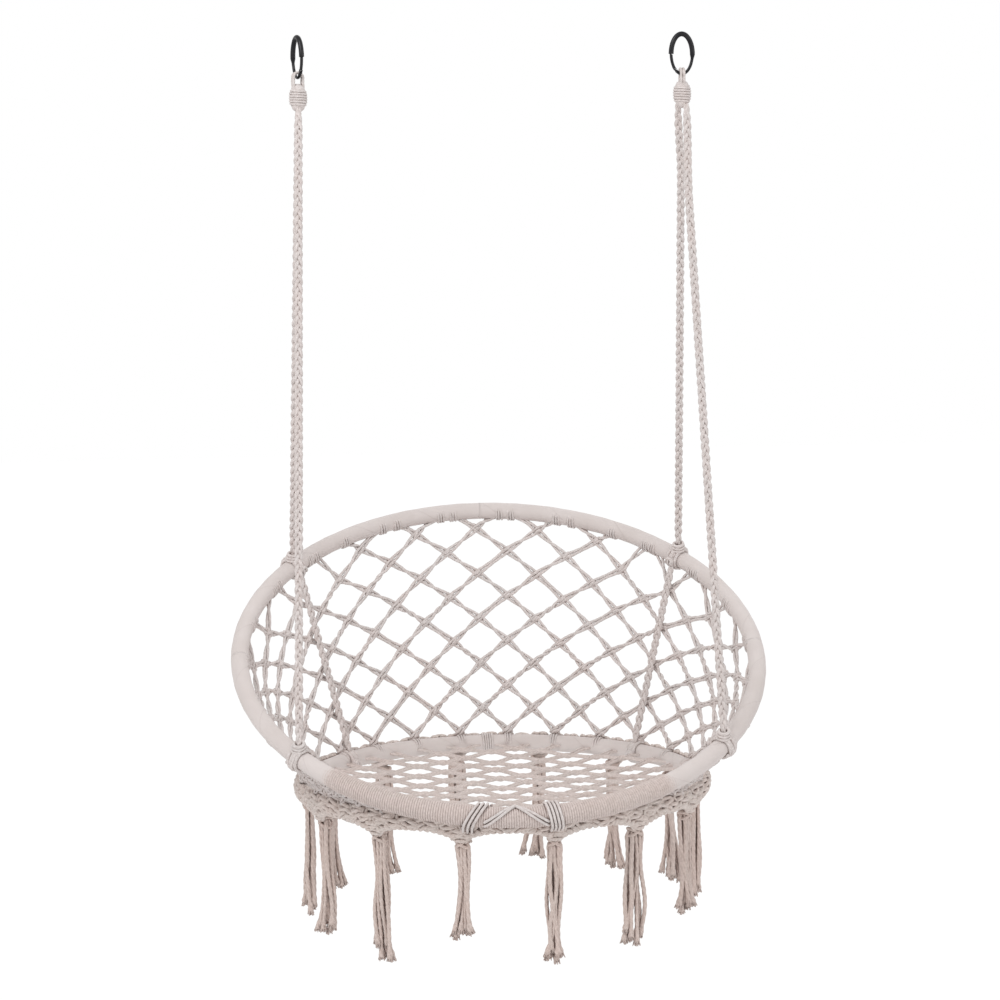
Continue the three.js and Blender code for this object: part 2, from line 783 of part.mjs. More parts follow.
function linkGate() {
  const rings = [linkSection(hingePlace.clone().addScaledVector(hingeWay, -lapEnd), hingeWay, linkRodRadius)]
  for (let step = 0; step < gateSteps; step += 1) {
    const angle = hingeAngle + (noseAngle - hingeAngle) * step / gateSteps
    rings.push(linkSection(linkPoint(angle), linkWay(angle), linkRodRadius))
  }
  const noseEnd = linkPoint(noseAngle).addScaledVector(noseWay, -noseGap)
  rings.push(linkSection(noseEnd, noseWay, linkRodRadius))
  return toSolid(loft(rings))
    .subtract(lapBlock(gateSlotWidth, 0, -linkRodDiameter, gateSlotLength))
    .subtract(toSolid(crossPin(gatePinHole, linkArchDiameter)))
}

function gateSpring() {
  const end = gateSlotLength - fitGap
  const from = hingePlace.clone().addScaledVector(hingeWay, end - gateSpringLength)
  const to = hingePlace.clone().addScaledVector(hingeWay, end)
  return bar(from, to, gateSpringDiameter / 2, pinSides, false)
}

// The cord of the rope eye rides over the bow at the foot of the snap link
function ropeEye() {
  const reach = linkRodRadius + eyeSlack + eyeCordRadius
  const points = [new THREE.Vector3(0, -reach, -eyeLeg)]
  for (let step = 0; step <= eyeSteps; step += 1) {
    const angle = Math.PI * step / eyeSteps
    points.push(new THREE.Vector3(0, -reach * Math.cos(angle), reach * Math.sin(angle)))
  }
  points.push(new THREE.Vector3(0, reach, -eyeLeg))
  return tubeAlong(points, eyeCordRadius, ropeSides, new THREE.Vector3(1, 0, 0))
}

function eyeCollar() {
  const top = -eyeLeg - fitGap
  const bottom = top - collarHeight
  return lathe([
    [0, bottom],
    [collarNeckDiameter / 2, bottom],
    [collarDiameter / 2, bottom + collarBevel],
    [collarDiameter / 2, top - collarBevel],
    [collarNeckDiameter / 2 + collarBevel / 2, top],
    [0, top],
  ], collarSides)
}

// The ropes of one side turn together about this point, under the collar
const ropeTopDrop = eyeLeg + fitGap + collarHeight + fitGap + ropeRadius
const ropeTopOffset = ropeRadius + fitGap / 2
const ropeFootRise = hitchRadius + fitGap + ropeRadius

for (const [side, sign] of [['left', -1], ['right', 1]]) {
  const link = new THREE.Group()
  link.position.set(sign * eyeSpan / 2, 0, -hookBearingRise)
  link.rotation.z = linkYaws[side]
  part.add(link)
  addPiece(link, `${side}_snap_link`, toGeometry(linkBody()), blackSteel)
  addPiece(link, `${side}_gate`, toGeometry(linkGate()), blackSteel)
  addPiece(link, `${side}_gate_pin`, crossPin(gatePinDiameter, gatePinLength), bareSteel)
  addPiece(link, `${side}_gate_spring`, gateSpring(), bareSteel)
  addPiece(link, `${side}_rope_eye`, ropeEye(), cottonCord)
  addPiece(link, `${side}_eye_collar`, eyeCollar(), cottonCord)

  const eye = new THREE.Vector3(sign * eyeSpan / 2, hangSetback, hangRise)
  const ropeEnds = [['front', ropeAngle, -ropeTopOffset], ['back', Math.PI - ropeAngle, ropeTopOffset]]
  for (const [end, angle, offset] of ropeEnds) {
    const top = eye.clone().add(new THREE.Vector3(0, offset, -ropeTopDrop))
    const foot = largeHoop.point(sign * angle).addScaledVector(largeHoop.axis, ropeFootRise)
    addPiece(chair, `${side}_${end}_rope`, bar(foot, top, ropeRadius, ropeSides, true), cottonCord)

    // Below the hitch the rope runs down the inside of the net to the seat hoop
    const line = backNetLine(sign * angle)
    const inward = backNetNormal(sign * angle, line.rise / 2).multiplyScalar(-1)
    const inset = ropeRadius + netCordDepth / 2 + tailGap
    const start = line.foot.clone()
      .addScaledVector(line.way, seatKnotDiameter / 2 + fitGap)
      .addScaledVector(inward, inset)
    const finish = largeHoop.point(sign * angle)
      .addScaledVector(line.way, -hitchRadius - fitGap)
      .addScaledVector(inward, inset)
    addPiece(chair, `${side}_${end}_rope_tail`, bar(start, finish, ropeRadius, ropeSides, false), cottonCord)
  }
}

// Fringe

const fringeTop = new THREE.Vector3(0, 0, -wrapRadius - fitGap)
const tasselAngle = (index) => patternTurn + fullTurn * (index + half) / tasselCount

function fringeBand() {
  const rings = []
  for (let place = 0; place < 2 * tasselCount; place += 1) {
    const angle = tasselAngle(place / 2)
    const depth = place % 2 === 0 ? fringeTipDepth : fringeValleyDepth
    const middle = seatHoop.point(angle).add(fringeTop)
    const outward = seatHoop.outward(angle).multiplyScalar(fringeThickness / 2)
    const down = new THREE.Vector3(0, 0, -depth)
    rings.push([
      middle.clone().sub(outward),
      middle.clone().add(outward),
      middle.clone().add(outward).add(down),
      middle.clone().sub(outward).add(down),
    ])
  }
  let band = toSolid(loft(rings, true))
  for (const { knot } of ropeKnots.filter(({ knot }) => knot.hoop === seatHoop)) {
    band = band.subtract(knotSolid(knot, fitGap))
  }
  for (const tie of frontTies) band = band.subtract(tieNotch(tie))
  return band
}

// Where a tie passes under the seat hoop, it runs through the band
function tieNotch(tie) {
  const reach = tieReach(seatHoop, wrapRadius, tie.offset)
  const x = tie.offset - tie.shiftAt(reach)
  const width = tie.pitch * (tie.loops + 1) + 2 * tieCordDiameter
  const depth = 2 * (reach + tieCordDiameter / 2 - wrapRadius)
  const notch = new THREE.BoxGeometry(width, 2 * fringeThickness, depth)
  notch.rotateZ(Math.asin(x / seatHoop.radius))
  notch.translate(...frontMiddle(seatHoop, x).add(fringeTop).toArray())
  return toSolid(notch)
}

addPiece(chair, 'fringe_band', toGeometry(fringeBand()), cottonCord)

function tassel(length) {
  return lathe([
    [0, -length],
    [tasselSkirtDiameter / 2 - tasselHemHeight / 2, -length],
    [tasselSkirtDiameter / 2, -length + tasselHemHeight],
    [tasselSkirtDiameter / 2, -tasselFullHeight],
    [tasselNeckDiameter / 2, -tasselNeckHeight],
    [tasselKnotDiameter / 2, -tasselKnotHeight / 2],
    [tasselNeckDiameter / 2, 0],
    [0, 0],
  ], tasselSides)
}

for (let index = 0; index < tasselCount; index += 1) {
  const lengthShare = tasselLengthShares[index % tasselLengthShares.length]
  const name = `tassel_${String(index + 1).padStart(2, '0')}`
  const piece = addPiece(chair, name, tassel(tasselLength * lengthShare), cottonCord)
  piece.position.copy(seatHoop.point(tasselAngle(index)).add(fringeTop))
  piece.position.z -= fringeTipDepth + fitGap
}

export default part
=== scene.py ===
import json
import math
from types import SimpleNamespace

import bpy
import numpy as np
from mathutils import Matrix, Vector

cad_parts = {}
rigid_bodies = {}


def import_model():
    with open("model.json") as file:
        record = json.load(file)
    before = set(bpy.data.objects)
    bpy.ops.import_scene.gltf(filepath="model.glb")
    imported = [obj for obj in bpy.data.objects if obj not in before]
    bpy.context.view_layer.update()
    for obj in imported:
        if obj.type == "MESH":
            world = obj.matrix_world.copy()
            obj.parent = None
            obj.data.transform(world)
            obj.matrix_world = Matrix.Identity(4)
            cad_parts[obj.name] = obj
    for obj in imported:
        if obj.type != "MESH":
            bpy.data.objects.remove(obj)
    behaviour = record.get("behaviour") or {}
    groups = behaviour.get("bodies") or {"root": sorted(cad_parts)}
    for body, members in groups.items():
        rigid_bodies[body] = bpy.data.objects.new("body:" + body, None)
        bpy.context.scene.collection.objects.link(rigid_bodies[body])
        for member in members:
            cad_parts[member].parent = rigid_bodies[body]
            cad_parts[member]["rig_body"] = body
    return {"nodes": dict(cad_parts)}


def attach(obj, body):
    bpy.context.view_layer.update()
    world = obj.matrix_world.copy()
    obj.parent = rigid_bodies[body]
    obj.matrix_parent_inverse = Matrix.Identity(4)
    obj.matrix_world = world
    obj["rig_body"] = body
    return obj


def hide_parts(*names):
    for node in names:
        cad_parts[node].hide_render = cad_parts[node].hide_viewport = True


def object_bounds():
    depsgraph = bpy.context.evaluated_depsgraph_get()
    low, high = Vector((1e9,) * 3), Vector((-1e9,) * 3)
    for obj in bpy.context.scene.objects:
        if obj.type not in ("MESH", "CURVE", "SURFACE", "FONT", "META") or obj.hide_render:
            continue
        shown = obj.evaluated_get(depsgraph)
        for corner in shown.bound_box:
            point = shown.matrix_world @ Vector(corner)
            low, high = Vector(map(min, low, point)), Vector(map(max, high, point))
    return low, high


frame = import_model()
cad_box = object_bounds()
random = np.random.default_rng(11)

# Sizes in metres. Angles go round a hoop from its front point, towards +X.
LARGE_HOOP_RADIUS = 0.387
SEAT_HOOP_RADIUS = 0.289
WRAP_RADIUS = 0.013
HOOP_TILT = math.radians(27)
SEAT_HOOP_FRONT = (0.0, 0.025, -0.013)
HANG_SETBACK = 0.3337
HANG_DROP = 1.08425
EYE_SPAN = 0.564
EYE_RISE = 1.030
FIT_GAP = 0.0003

CHAIR = np.array([0.0, -HANG_SETBACK, -HANG_DROP])
UP = np.array([0.0, 0.0, 1.0])
SIDEWAYS = np.array([1.0, 0.0, 0.0])
FULL_TURN = 2 * math.pi

# The camera stands where the photograph was taken from
CAMERA_PLACE = CHAIR + np.array([-0.3252, -3.6696, 0.8283])
CAMERA_YAW = -0.0821
CAMERA_PITCH = -0.1048
CAMERA_ROLL = 0.0147
CAMERA_FOCAL_PIXELS = 2716.0
PHOTO_WIDTH_PIXELS = 1000
SENSOR_WIDTH = 36.0
CAMERA_REACH = 100


def make_camera():
    data = bpy.data.cameras.new("camera")
    data.sensor_width = SENSOR_WIDTH
    data.lens = CAMERA_FOCAL_PIXELS * SENSOR_WIDTH / PHOTO_WIDTH_PIXELS
    data.clip_end = CAMERA_REACH
    camera = bpy.data.objects.new("camera", data)
    bpy.context.scene.collection.objects.link(camera)
    turn = Matrix.Rotation(CAMERA_YAW, 3, "Z")
    turn = turn @ Matrix.Rotation(CAMERA_PITCH, 3, "X") @ Matrix.Rotation(CAMERA_ROLL, 3, "Y")
    turn = turn @ Matrix.Rotation(math.radians(90), 3, "X")
    camera.matrix_world = Matrix.Translation(CAMERA_PLACE) @ turn.to_4x4()
    bpy.context.scene.camera = camera


make_camera()


# Tubes

def unit(vectors):
    return vectors / np.linalg.norm(vectors, axis=-1, keepdims=True)


def smooth_share(share):
    share = np.clip(share, 0, 1)
    return share * share * (3 - 2 * share)


def part_way(start, end, share):
    """The value at a share of the way from the start to the end."""
    return start + (end - start) * share


def around(turn, first, second):
    """The way at a turn from a first direction towards a second one."""
    return np.cos(turn) * first + np.sin(turn) * second


def cross_directions(paths):
    """Two directions square to each path at each of its points, turned as little as can be."""
    tangents = unit(np.gradient(paths, axis=1))
    guides = np.eye(3)[np.argmin(np.abs(tangents[:, 0]), axis=1)]
    first = np.empty_like(paths)
    first[:, 0] = unit(np.cross(guides, tangents[:, 0]))
    for step in range(1, paths.shape[1]):
        before = first[:, step - 1]
        along = np.sum(before * tangents[:, step], axis=1, keepdims=True)
        first[:, step] = unit(before - along * tangents[:, step])
    return first, np.cross(tangents, first)


CORD_SIDES = 12
FINE_SIDES = 6
SINGLE_TINT = 0.5
END_RADIUS_SHARES = (0.3, 0.8)
END_REACH_SHARES = (0.9, 0.5)


class Lay:
    """How a cord's plies run round it: their count, the pitch from one to the next along the cord,
    and how proud they stand, as a share of its radius."""

    def __init__(self, plies, pitch, depth_share):
        self.plies = plies
        self.pitch = pitch
        self.depth_share = depth_share

    def swell(self, turn_share, length):
        wave = np.sin(FULL_TURN * (self.plies * turn_share + length / self.pitch))
        return 1 + self.depth_share * wave


NET_LAY = Lay(3, 0.012, 0.07)
ROPE_LAY = Lay(3, 0.012, 0.09)
FRINGE_LAY = Lay(3, 0.013, 0.08)
TASSEL_LAY = Lay(3, 0.012, 0.09)
WOUND_LAY = Lay(2, 0.005, 0.05)


class Batch:
    """Round cords gathered into one mesh. Each mesh corner holds the share of a turn round its
    cord and the metres along it, and each point a tint that is its cord's own."""

    def __init__(self):
        self.points = []
        self.tints = []
        self.corners = []
        self.corner_uvs = []
        self.face_sizes = []
        self.count = 0

    def add(self, paths, radius, sides=CORD_SIDES, tints=None, round_ends=True, lay=None):
        """paths: tubes, steps, 3, or steps, 3. Without tints, each tube draws its own."""
        if paths.ndim == 2:
            paths = paths[None]
        tubes, steps = paths.shape[:2]
        radii = np.broadcast_to(np.asarray(radius, float), (tubes, steps)).copy()
        if tints is None:
            tints = random.random(tubes)
        if round_ends:
            head = unit(paths[:, 0] - paths[:, 1])
            tail = unit(paths[:, -1] - paths[:, -2])
            heads = [paths[:, 0] + head * radii[:, :1] * reach for reach in END_REACH_SHARES]
            tails = [paths[:, -1] + tail * radii[:, -1:] * reach for reach in END_REACH_SHARES]
            paths = np.concatenate([np.stack(heads, 1), paths, np.stack(tails[::-1], 1)], axis=1)
            shares = np.array(END_RADIUS_SHARES)
            ends = radii[:, :1] * shares, radii[:, -1:] * shares[::-1]
            radii = np.concatenate([ends[0], radii, ends[1]], axis=1)
            steps += 2 * len(shares)
        first, second = cross_directions(paths)
        turns = FULL_TURN * np.arange(sides) / sides
        ring = around(turns[:, None], first[:, :, None], second[:, :, None])
        lengths = np.linalg.norm(np.diff(paths, axis=1), axis=2)
        lengths = np.concatenate([np.zeros((tubes, 1)), np.cumsum(lengths, axis=1)], axis=1)
        reach = np.repeat(radii[:, :, None], sides, axis=2)
        if lay is not None:
            reach = reach * lay.swell(turns / FULL_TURN, lengths[:, :, None])
        points = paths[:, :, None] + ring * reach[..., None]
        self.add_rings(points, lengths, np.asarray(tints, float))

    def add_rings(self, points, lengths, tints):
        """points: tubes, steps, sides, 3. Tints: one a tube, or one number. Flat faces close the
        end rings."""
        tubes, steps, sides = points.shape[:3]
        start = self.count + steps * sides * np.arange(tubes)[:, None, None]
        here = start + sides * np.arange(steps - 1)[None, :, None] + np.arange(sides)[None, None, :]
        turn = start + sides * np.arange(steps - 1)[None, :, None] + (np.arange(sides) + 1) % sides
        quads = np.stack([here, turn, turn + sides, here + sides], axis=-1).reshape(-1, 4)
        left = np.broadcast_to(np.arange(sides) / sides, here.shape)
        right = left + 1 / sides
        low = np.broadcast_to(lengths[:, :-1, None], here.shape)
        high = np.broadcast_to(lengths[:, 1:, None], here.shape)
        uvs = np.stack([left, low, right, low, right, high, left, high], axis=-1).reshape(-1, 2)
        self.corners.append(quads.ravel())
        self.corner_uvs.append(uvs)
        self.face_sizes.append(np.full(len(quads), 4))
        first_ring = start[:, 0] + np.arange(sides)[::-1]
        last_ring = start[:, 0] + sides * (steps - 1) + np.arange(sides)
        caps = np.concatenate([first_ring, last_ring])
        self.corners.append(caps.ravel())
        self.corner_uvs.append(np.zeros((caps.size, 2)))
        self.face_sizes.append(np.full(len(caps), sides))
        self.points.append(points.reshape(-1, 3))
        self.tints.append(np.repeat(tints, steps * sides))
        self.count += tubes * steps * sides

    def mesh(self, name):
        points = np.concatenate(self.points)
        corners = np.concatenate(self.corners).astype(np.int32)
        sizes = np.concatenate(self.face_sizes)
        mesh = bpy.data.meshes.new(name)
        mesh.vertices.add(len(points))
        mesh.vertices.foreach_set("co", points.astype(np.float32).ravel())
        mesh.loops.add(len(corners))
        mesh.loops.foreach_set("vertex_index", corners)
        mesh.polygons.add(len(sizes))
        starts = np.concatenate([[0], np.cumsum(sizes)[:-1]]).astype(np.int32)
        mesh.polygons.foreach_set("loop_start", starts)
        mesh.update(calc_edges=True)
        layer = mesh.uv_layers.new(name="cord")
        layer.data.foreach_set("uv", np.concatenate(self.corner_uvs).astype(np.float32).ravel())
        tint = mesh.attributes.new("tint", "FLOAT", "POINT")
        tint.data.foreach_set("value", np.concatenate(self.tints).astype(np.float32))
        mesh.shade_smooth()
        return mesh


def add_piece(name, batch, material, node):
    """Makes a batch the visible form of one of the frame's nodes, on that node's body."""
    piece = bpy.data.objects.new(name, batch.mesh(name))
    bpy.context.scene.collection.objects.link(piece)
    piece.data.materials.append(material)
    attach(piece, frame["nodes"][node]["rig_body"])
    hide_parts(node)


# Materials

def srgb(red, green, blue):
    """Linear colour from the 0 to 255 values that a screen shows."""
    def linear(value):
        share = value / 255
        return share / 12.92 if share <= 0.04045 else ((share + 0.055) / 1.055) ** 2.4
    return (linear(red), linear(green), linear(blue), 1.0)


class Tree:
    """A node tree, with short calls that add and join nodes."""

    def __init__(self, owner, empty=False):
        owner.use_nodes = True
        self.tree = owner.node_tree
        if empty:
            self.tree.nodes.clear()

    def put(self, socket, value):
        if isinstance(value, bpy.types.NodeSocket):
            self.tree.links.new(value, socket)
        else:
            socket.default_value = value

    def add(self, kind, values=(), **settings):
        node = self.tree.nodes.new(kind)
        for key, value in settings.items():
            setattr(node, key, value)
        for key, value in dict(values).items():
            self.put(node.inputs[key], value)
        return node

    def math(self, operation, first, second=0.0):
        return self.add("ShaderNodeMath", {0: first, 1: second}, operation=operation).outputs[0]


class Nodes(Tree):
    """The node tree of a material with one principled shader."""

    def __init__(self, name, roughness, metallic=0.0, sheen=0.0):
        self.material = bpy.data.materials.new(name)
        super().__init__(self.material)
        self.shader = self.tree.nodes["Principled BSDF"]
        self.shader.inputs["Roughness"].default_value = roughness
        self.shader.inputs["Metallic"].default_value = metallic
        self.shader.inputs["Sheen Weight"].default_value = sheen

    def along_cord(self):
        """The share of a turn round the cord and the metres along it."""
        uv = self.add("ShaderNodeUVMap", uv_map="cord").outputs["UV"]
        parts = self.add("ShaderNodeSeparateXYZ", {"Vector": uv}).outputs
        return parts[0], parts[1]

    def noise(self, scale, detail=2.0):
        place = self.add("ShaderNodeTexCoord").outputs["Object"]
        values = {"Vector": place, "Scale": scale, "Detail": detail}
        return self.add("ShaderNodeTexNoise", values).outputs["Fac"]

    def ramp(self, share, stops):
        node = self.add("ShaderNodeValToRGB", {"Fac": share})
        elements = node.color_ramp.elements
        while len(elements) < len(stops):
            elements.new(0.5)
        for element, (position, colour) in zip(elements, stops):
            element.position = position
            element.color = colour
        return node.outputs["Color"]

    def mix(self, share, first, second, blend="MIX"):
        values = {0: share, 6: first, 7: second}
        return self.add("ShaderNodeMix", values, data_type="RGBA", blend_type=blend).outputs[2]

    def bump(self, height, strength, distance, normal=None):
        values = {"Height": height, "Strength": strength, "Distance": distance}
        if normal is not None:
            values["Normal"] = normal
        return self.add("ShaderNodeBump", values).outputs["Normal"]

    def join(self, colour, normal):
        self.put(self.shader.inputs["Base Color"], colour)
        self.put(self.shader.inputs["Normal"], normal)
        return self.material


COTTON_LIGHT = srgb(229, 221, 219)
COTTON_MID = srgb(219, 209, 207)
# Painted shade colour for the grooves between plies and for the tape's overlap seams
PAINTED_GROOVE_AND_SEAM_SHADE = srgb(188, 175, 171)
COTTON_GREY = srgb(216, 211, 209)
COTTON_WARM = srgb(223, 210, 206)
FRINGE_DYE = srgb(255, 251, 247)
TASSEL_DYE = srgb(246, 236, 230)
SEAT_DYE = srgb(251, 246, 243)
WINDING_DYE = srgb(246, 240, 237)
SPECK_SHADE = srgb(232, 230, 228)
BLACK = (0.0, 0.0, 0.0, 1.0)
HALF_GREY = (0.5, 0.5, 0.5, 1.0)
WHITE = (1.0, 1.0, 1.0, 1.0)
COTTON_SHEEN = 0.15
CORD_ROUGHNESS = 0.92
TAPE_ROUGHNESS = 0.9
GREY_SHARE = 0.6
PLY_HEIGHT = 0.0002
FINE_PLY_HEIGHT = 0.0001
CORD_FUZZ_HEIGHT = 0.0004
# Painted shade where cords lie close together: its reach, colour and samples
CREVICE_REACH = 0.005
DEEP_CREVICE_REACH = 0.010
PAINTED_CREVICE_SHADE = srgb(182, 166, 160)
CREVICE_SAMPLES = 6


def painted_crevice_shade(nodes, reach):
    """Painted shade: white on open surfaces and dusky where cords lie close together and shade falls
    between them.
    """
    open_share = nodes.add("ShaderNodeAmbientOcclusion", {"Distance": reach},
                           samples=CREVICE_SAMPLES).outputs["AO"]
    return nodes.ramp(open_share, [(0.15, PAINTED_CREVICE_SHADE), (0.75, WHITE)])


def twisted_cotton(name, lay, ply_shade_share, ply_height=PLY_HEIGHT, dye=WHITE, reach=CREVICE_REACH):
    """Cotton cord whose plies run round it at the given lay, with a fuzzy surface, painted shade in the
    grooves between its plies and painted shade where cords lie close together.
    """
    nodes = Nodes(name, CORD_ROUGHNESS, sheen=COTTON_SHEEN)
    turned, run = nodes.along_cord()
    turned = nodes.math("MULTIPLY", turned, float(lay.plies))
    run = nodes.math("DIVIDE", run, lay.pitch)
    wave = nodes.math("SINE", nodes.math("MULTIPLY", nodes.math("ADD", turned, run), FULL_TURN))
    ridge = nodes.math("ADD", nodes.math("MULTIPLY", wave, 0.5), 0.5)
    # Painted shade along the lay: the grooves between plies are painted darker than the crests
    painted_ply_shade = nodes.ramp(ridge, [(0.0, PAINTED_GROOVE_AND_SEAM_SHADE), (0.45, COTTON_MID), (1.0, COTTON_LIGHT)])
    tint = nodes.add("ShaderNodeAttribute", attribute_name="tint").outputs["Fac"]
    cloud_share = nodes.ramp(nodes.noise(scale=24.0), [(0.35, BLACK), (0.75, HALF_GREY)])
    base = nodes.mix(ply_shade_share, COTTON_LIGHT, painted_ply_shade)
    base = nodes.mix(nodes.math("MULTIPLY", tint, GREY_SHARE), base, COTTON_GREY)
    base = nodes.mix(cloud_share, base, COTTON_WARM)
    specks = nodes.ramp(nodes.noise(scale=260.0, detail=3.0), [(0.3, SPECK_SHADE), (0.7, WHITE)])
    # Multiplies in the specks, the dye and the painted crevice shade
    for shade in (specks, dye, painted_crevice_shade(nodes, reach)):
        base = nodes.mix(1.0, base, shade, "MULTIPLY")
    normal = nodes.bump(ridge, strength=1.0, distance=ply_height)
    fuzz = nodes.noise(scale=1800.0)
    return nodes.join(base, nodes.bump(fuzz, 0.5, CORD_FUZZ_HEIGHT, normal))


TAPE_LIGHT = srgb(217, 208, 205)
TAPE_MID = srgb(208, 198, 194)
TAPE_PITCH = 0.11
TAPE_RIB_PITCH = 0.0021
TAPE_SEAM_HEIGHT = 0.0006
TAPE_SEAM_SHARE = 0.35
TAPE_RIB_HEIGHT = 0.0002
TAPE_FUZZ_HEIGHT = 0.0003


def tape_cotton():
    """The tape round the hoops: nearly smooth, with a fine weave and the overlap of each turn, whose seam
    carries a thin line of painted shade.
    """
    nodes = Nodes("cotton_tape", TAPE_ROUGHNESS, sheen=COTTON_SHEEN)
    turned, run = nodes.along_cord()
    saw = nodes.math("FRACT", nodes.math("ADD", nodes.math("DIVIDE", run, TAPE_PITCH), turned))
    seam = nodes.ramp(saw, [(0.0, BLACK), (0.02, WHITE), (0.97, WHITE)])
    ribs = nodes.math("SINE", nodes.math("MULTIPLY", run, FULL_TURN / TAPE_RIB_PITCH))
    cloud_share = nodes.ramp(nodes.noise(scale=16.0, detail=3.0), [(0.3, BLACK), (0.8, WHITE)])
    base = nodes.mix(cloud_share, TAPE_LIGHT, TAPE_MID)
    # Painted shade: a thin darker line along each turn's overlap seam
    base = nodes.mix(TAPE_SEAM_SHARE, base, nodes.mix(seam, PAINTED_GROOVE_AND_SEAM_SHADE, base))
    normal = nodes.bump(seam, 0.6, TAPE_SEAM_HEIGHT)
    normal = nodes.bump(ribs, 0.3, TAPE_RIB_HEIGHT, normal)
    fuzz = nodes.noise(scale=1500.0)
    return nodes.join(base, nodes.bump(fuzz, 0.4, TAPE_FUZZ_HEIGHT, normal))


STEEL_GRAIN_HEIGHT = 0.0002


def steel(name, dark, light, roughness, metallic, cloud_scale, grain_scale, grain_strength):
    nodes = Nodes(name, roughness, metallic)
    base = nodes.ramp(nodes.noise(cloud_scale, detail=4.0), [(0.3, dark), (0.75, light)])
    return nodes.join(base, nodes.bump(nodes.noise(grain_scale), grain_strength, STEEL_GRAIN_HEIGHT))


def black_steel():
    return steel("black_steel", srgb(30, 30, 33), srgb(52, 51, 52), roughness=0.32, metallic=0.75,
                 cloud_scale=90.0, grain_scale=700.0, grain_strength=0.15)


def bare_steel():
    return steel("bare_steel", srgb(150, 151, 153), srgb(186, 187, 188), roughness=0.38, metallic=1.0,
                 cloud_scale=60.0, grain_scale=500.0, grain_strength=0.1)


tape = tape_cotton()
# The second number of each cord is its share of painted groove shade
wound_cord = twisted_cotton("wound_cord", WOUND_LAY, 0.1, FINE_PLY_HEIGHT, WINDING_DYE)
net_cord = twisted_cotton("net_cord", NET_LAY, 0.18)
rope_cord = twisted_cotton("rope_cord", ROPE_LAY, 0.3)
seat_cord = twisted_cotton("seat_cord", NET_LAY, 0.25, dye=SEAT_DYE, reach=DEEP_CREVICE_REACH)
fringe_cord = twisted_cotton("fringe_cord", FRINGE_LAY, 0.3, dye=FRINGE_DYE)
tassel_cord = twisted_cotton("tassel_cord", TASSEL_LAY, 0.4, dye=TASSEL_DYE, reach=DEEP_CREVICE_REACH)
black_metal = black_steel()
bright_metal = bare_steel()


# Hoops

class Hoop:
    def __init__(self, radius, front, tilt):
        self.radius = radius
        self.axis = np.array([0.0, -math.sin(tilt), math.cos(tilt)])
        self.back = np.array([0.0, math.cos(tilt), math.sin(tilt)])
        self.centre = CHAIR + np.array(front) + self.back * radius

    def outward(self, angle):
        angle = np.asarray(angle, float)[..., None]
        return np.sin(angle) * SIDEWAYS - np.cos(angle) * self.back

    def along(self, angle):
        return np.cross(self.axis, self.outward(angle))

    def point(self, angle):
        return self.centre + self.radius * self.outward(angle)

    def skin(self, angle, turn, reach):
        """A point at a reach from the tube's middle line. The turn goes from up the axis to outward."""
        turn = np.asarray(turn, float)[..., None]
        reach = np.asarray(reach, float)[..., None]
        return self.point(angle) + reach * (np.cos(turn) * self.axis + np.sin(turn) * self.outward(angle))

    def turn_towards(self, angle, place):
        """The turn at which the tube's skin faces a place."""
        way = place - self.point(angle)
        return math.atan2(way @ self.outward(angle), way @ self.axis)


large_hoop = Hoop(LARGE_HOOP_RADIUS, (0.0, 0.0, 0.0), HOOP_TILT)
seat_hoop = Hoop(SEAT_HOOP_RADIUS, SEAT_HOOP_FRONT, 0.0)

COVER_STEPS = 150
COVER_SIDES = 40
WRAP_STRIPS = 4
COVER_TINT = 0.3
COVER_SWELL = 0.0003
# Waves of the padding: how many go round the hoop, and how many round its tube meanwhile
COVER_WAVES = ((31, 0), (52, 1), (83, 1))


def hoop_cover(hoop, strip, phases):
    """One quarter of a hoop's tape, a little uneven where padding lies under it."""
    angles = FULL_TURN * (strip + np.linspace(0, 1, COVER_STEPS)) / WRAP_STRIPS
    turns = -FULL_TURN * np.arange(COVER_SIDES) / COVER_SIDES
    grid, turn = np.meshgrid(angles, turns, indexing="ij")
    swell = sum(np.sin(count * grid + phase + twist * turn) for count, phase, twist in phases)
    radius = WRAP_RADIUS + COVER_SWELL * swell / len(phases)
    points = hoop.skin(grid, turn, radius)
    batch = Batch()
    batch.add_rings(points[None], (hoop.radius * angles)[None], COVER_TINT)
    return batch


for hoop_name, hoop in (("large_hoop", large_hoop), ("seat_hoop", seat_hoop)):
    swell_phases = [(count, random.uniform(0, FULL_TURN), twist) for count, twist in COVER_WAVES]
    for strip in range(WRAP_STRIPS):
        node = f"{hoop_name}_wrap_{strip + 1}"
        cover = hoop_cover(hoop, strip, swell_phases)
        add_piece(f"{hoop_name}_tape_{strip + 1}", cover, tape, node)

# Fine cord wound round the front of the large hoop
WINDING_FIRST = math.radians(-45)
WINDING_LAST = math.radians(36)
WINDING_PITCH = 0.0034
WINDING_CORD_RADIUS = 0.0022
WINDING_REACH = 0.01295
WINDING_STEPS_PER_TURN = 20
WINDING_END_SINK = 0.0024
WINDING_END_SHARE = 0.08


def front_winding():
    arc = (WINDING_LAST - WINDING_FIRST) * LARGE_HOOP_RADIUS
    turns = int(arc / WINDING_PITCH)
    share = np.linspace(0, 1, turns * WINDING_STEPS_PER_TURN + 1)
    angle = part_way(WINDING_FIRST, WINDING_LAST, share)
    end_share = np.minimum(share, 1 - share) / WINDING_END_SHARE
    reach = WINDING_REACH - WINDING_END_SINK * (1 - smooth_share(end_share))
    path = large_hoop.skin(angle, FULL_TURN * turns * share, reach)
    batch = Batch()
    batch.add(path, WINDING_CORD_RADIUS, FINE_SIDES)
    return batch


add_piece("front_winding_cord", front_winding(), wound_cord, "front_winding")

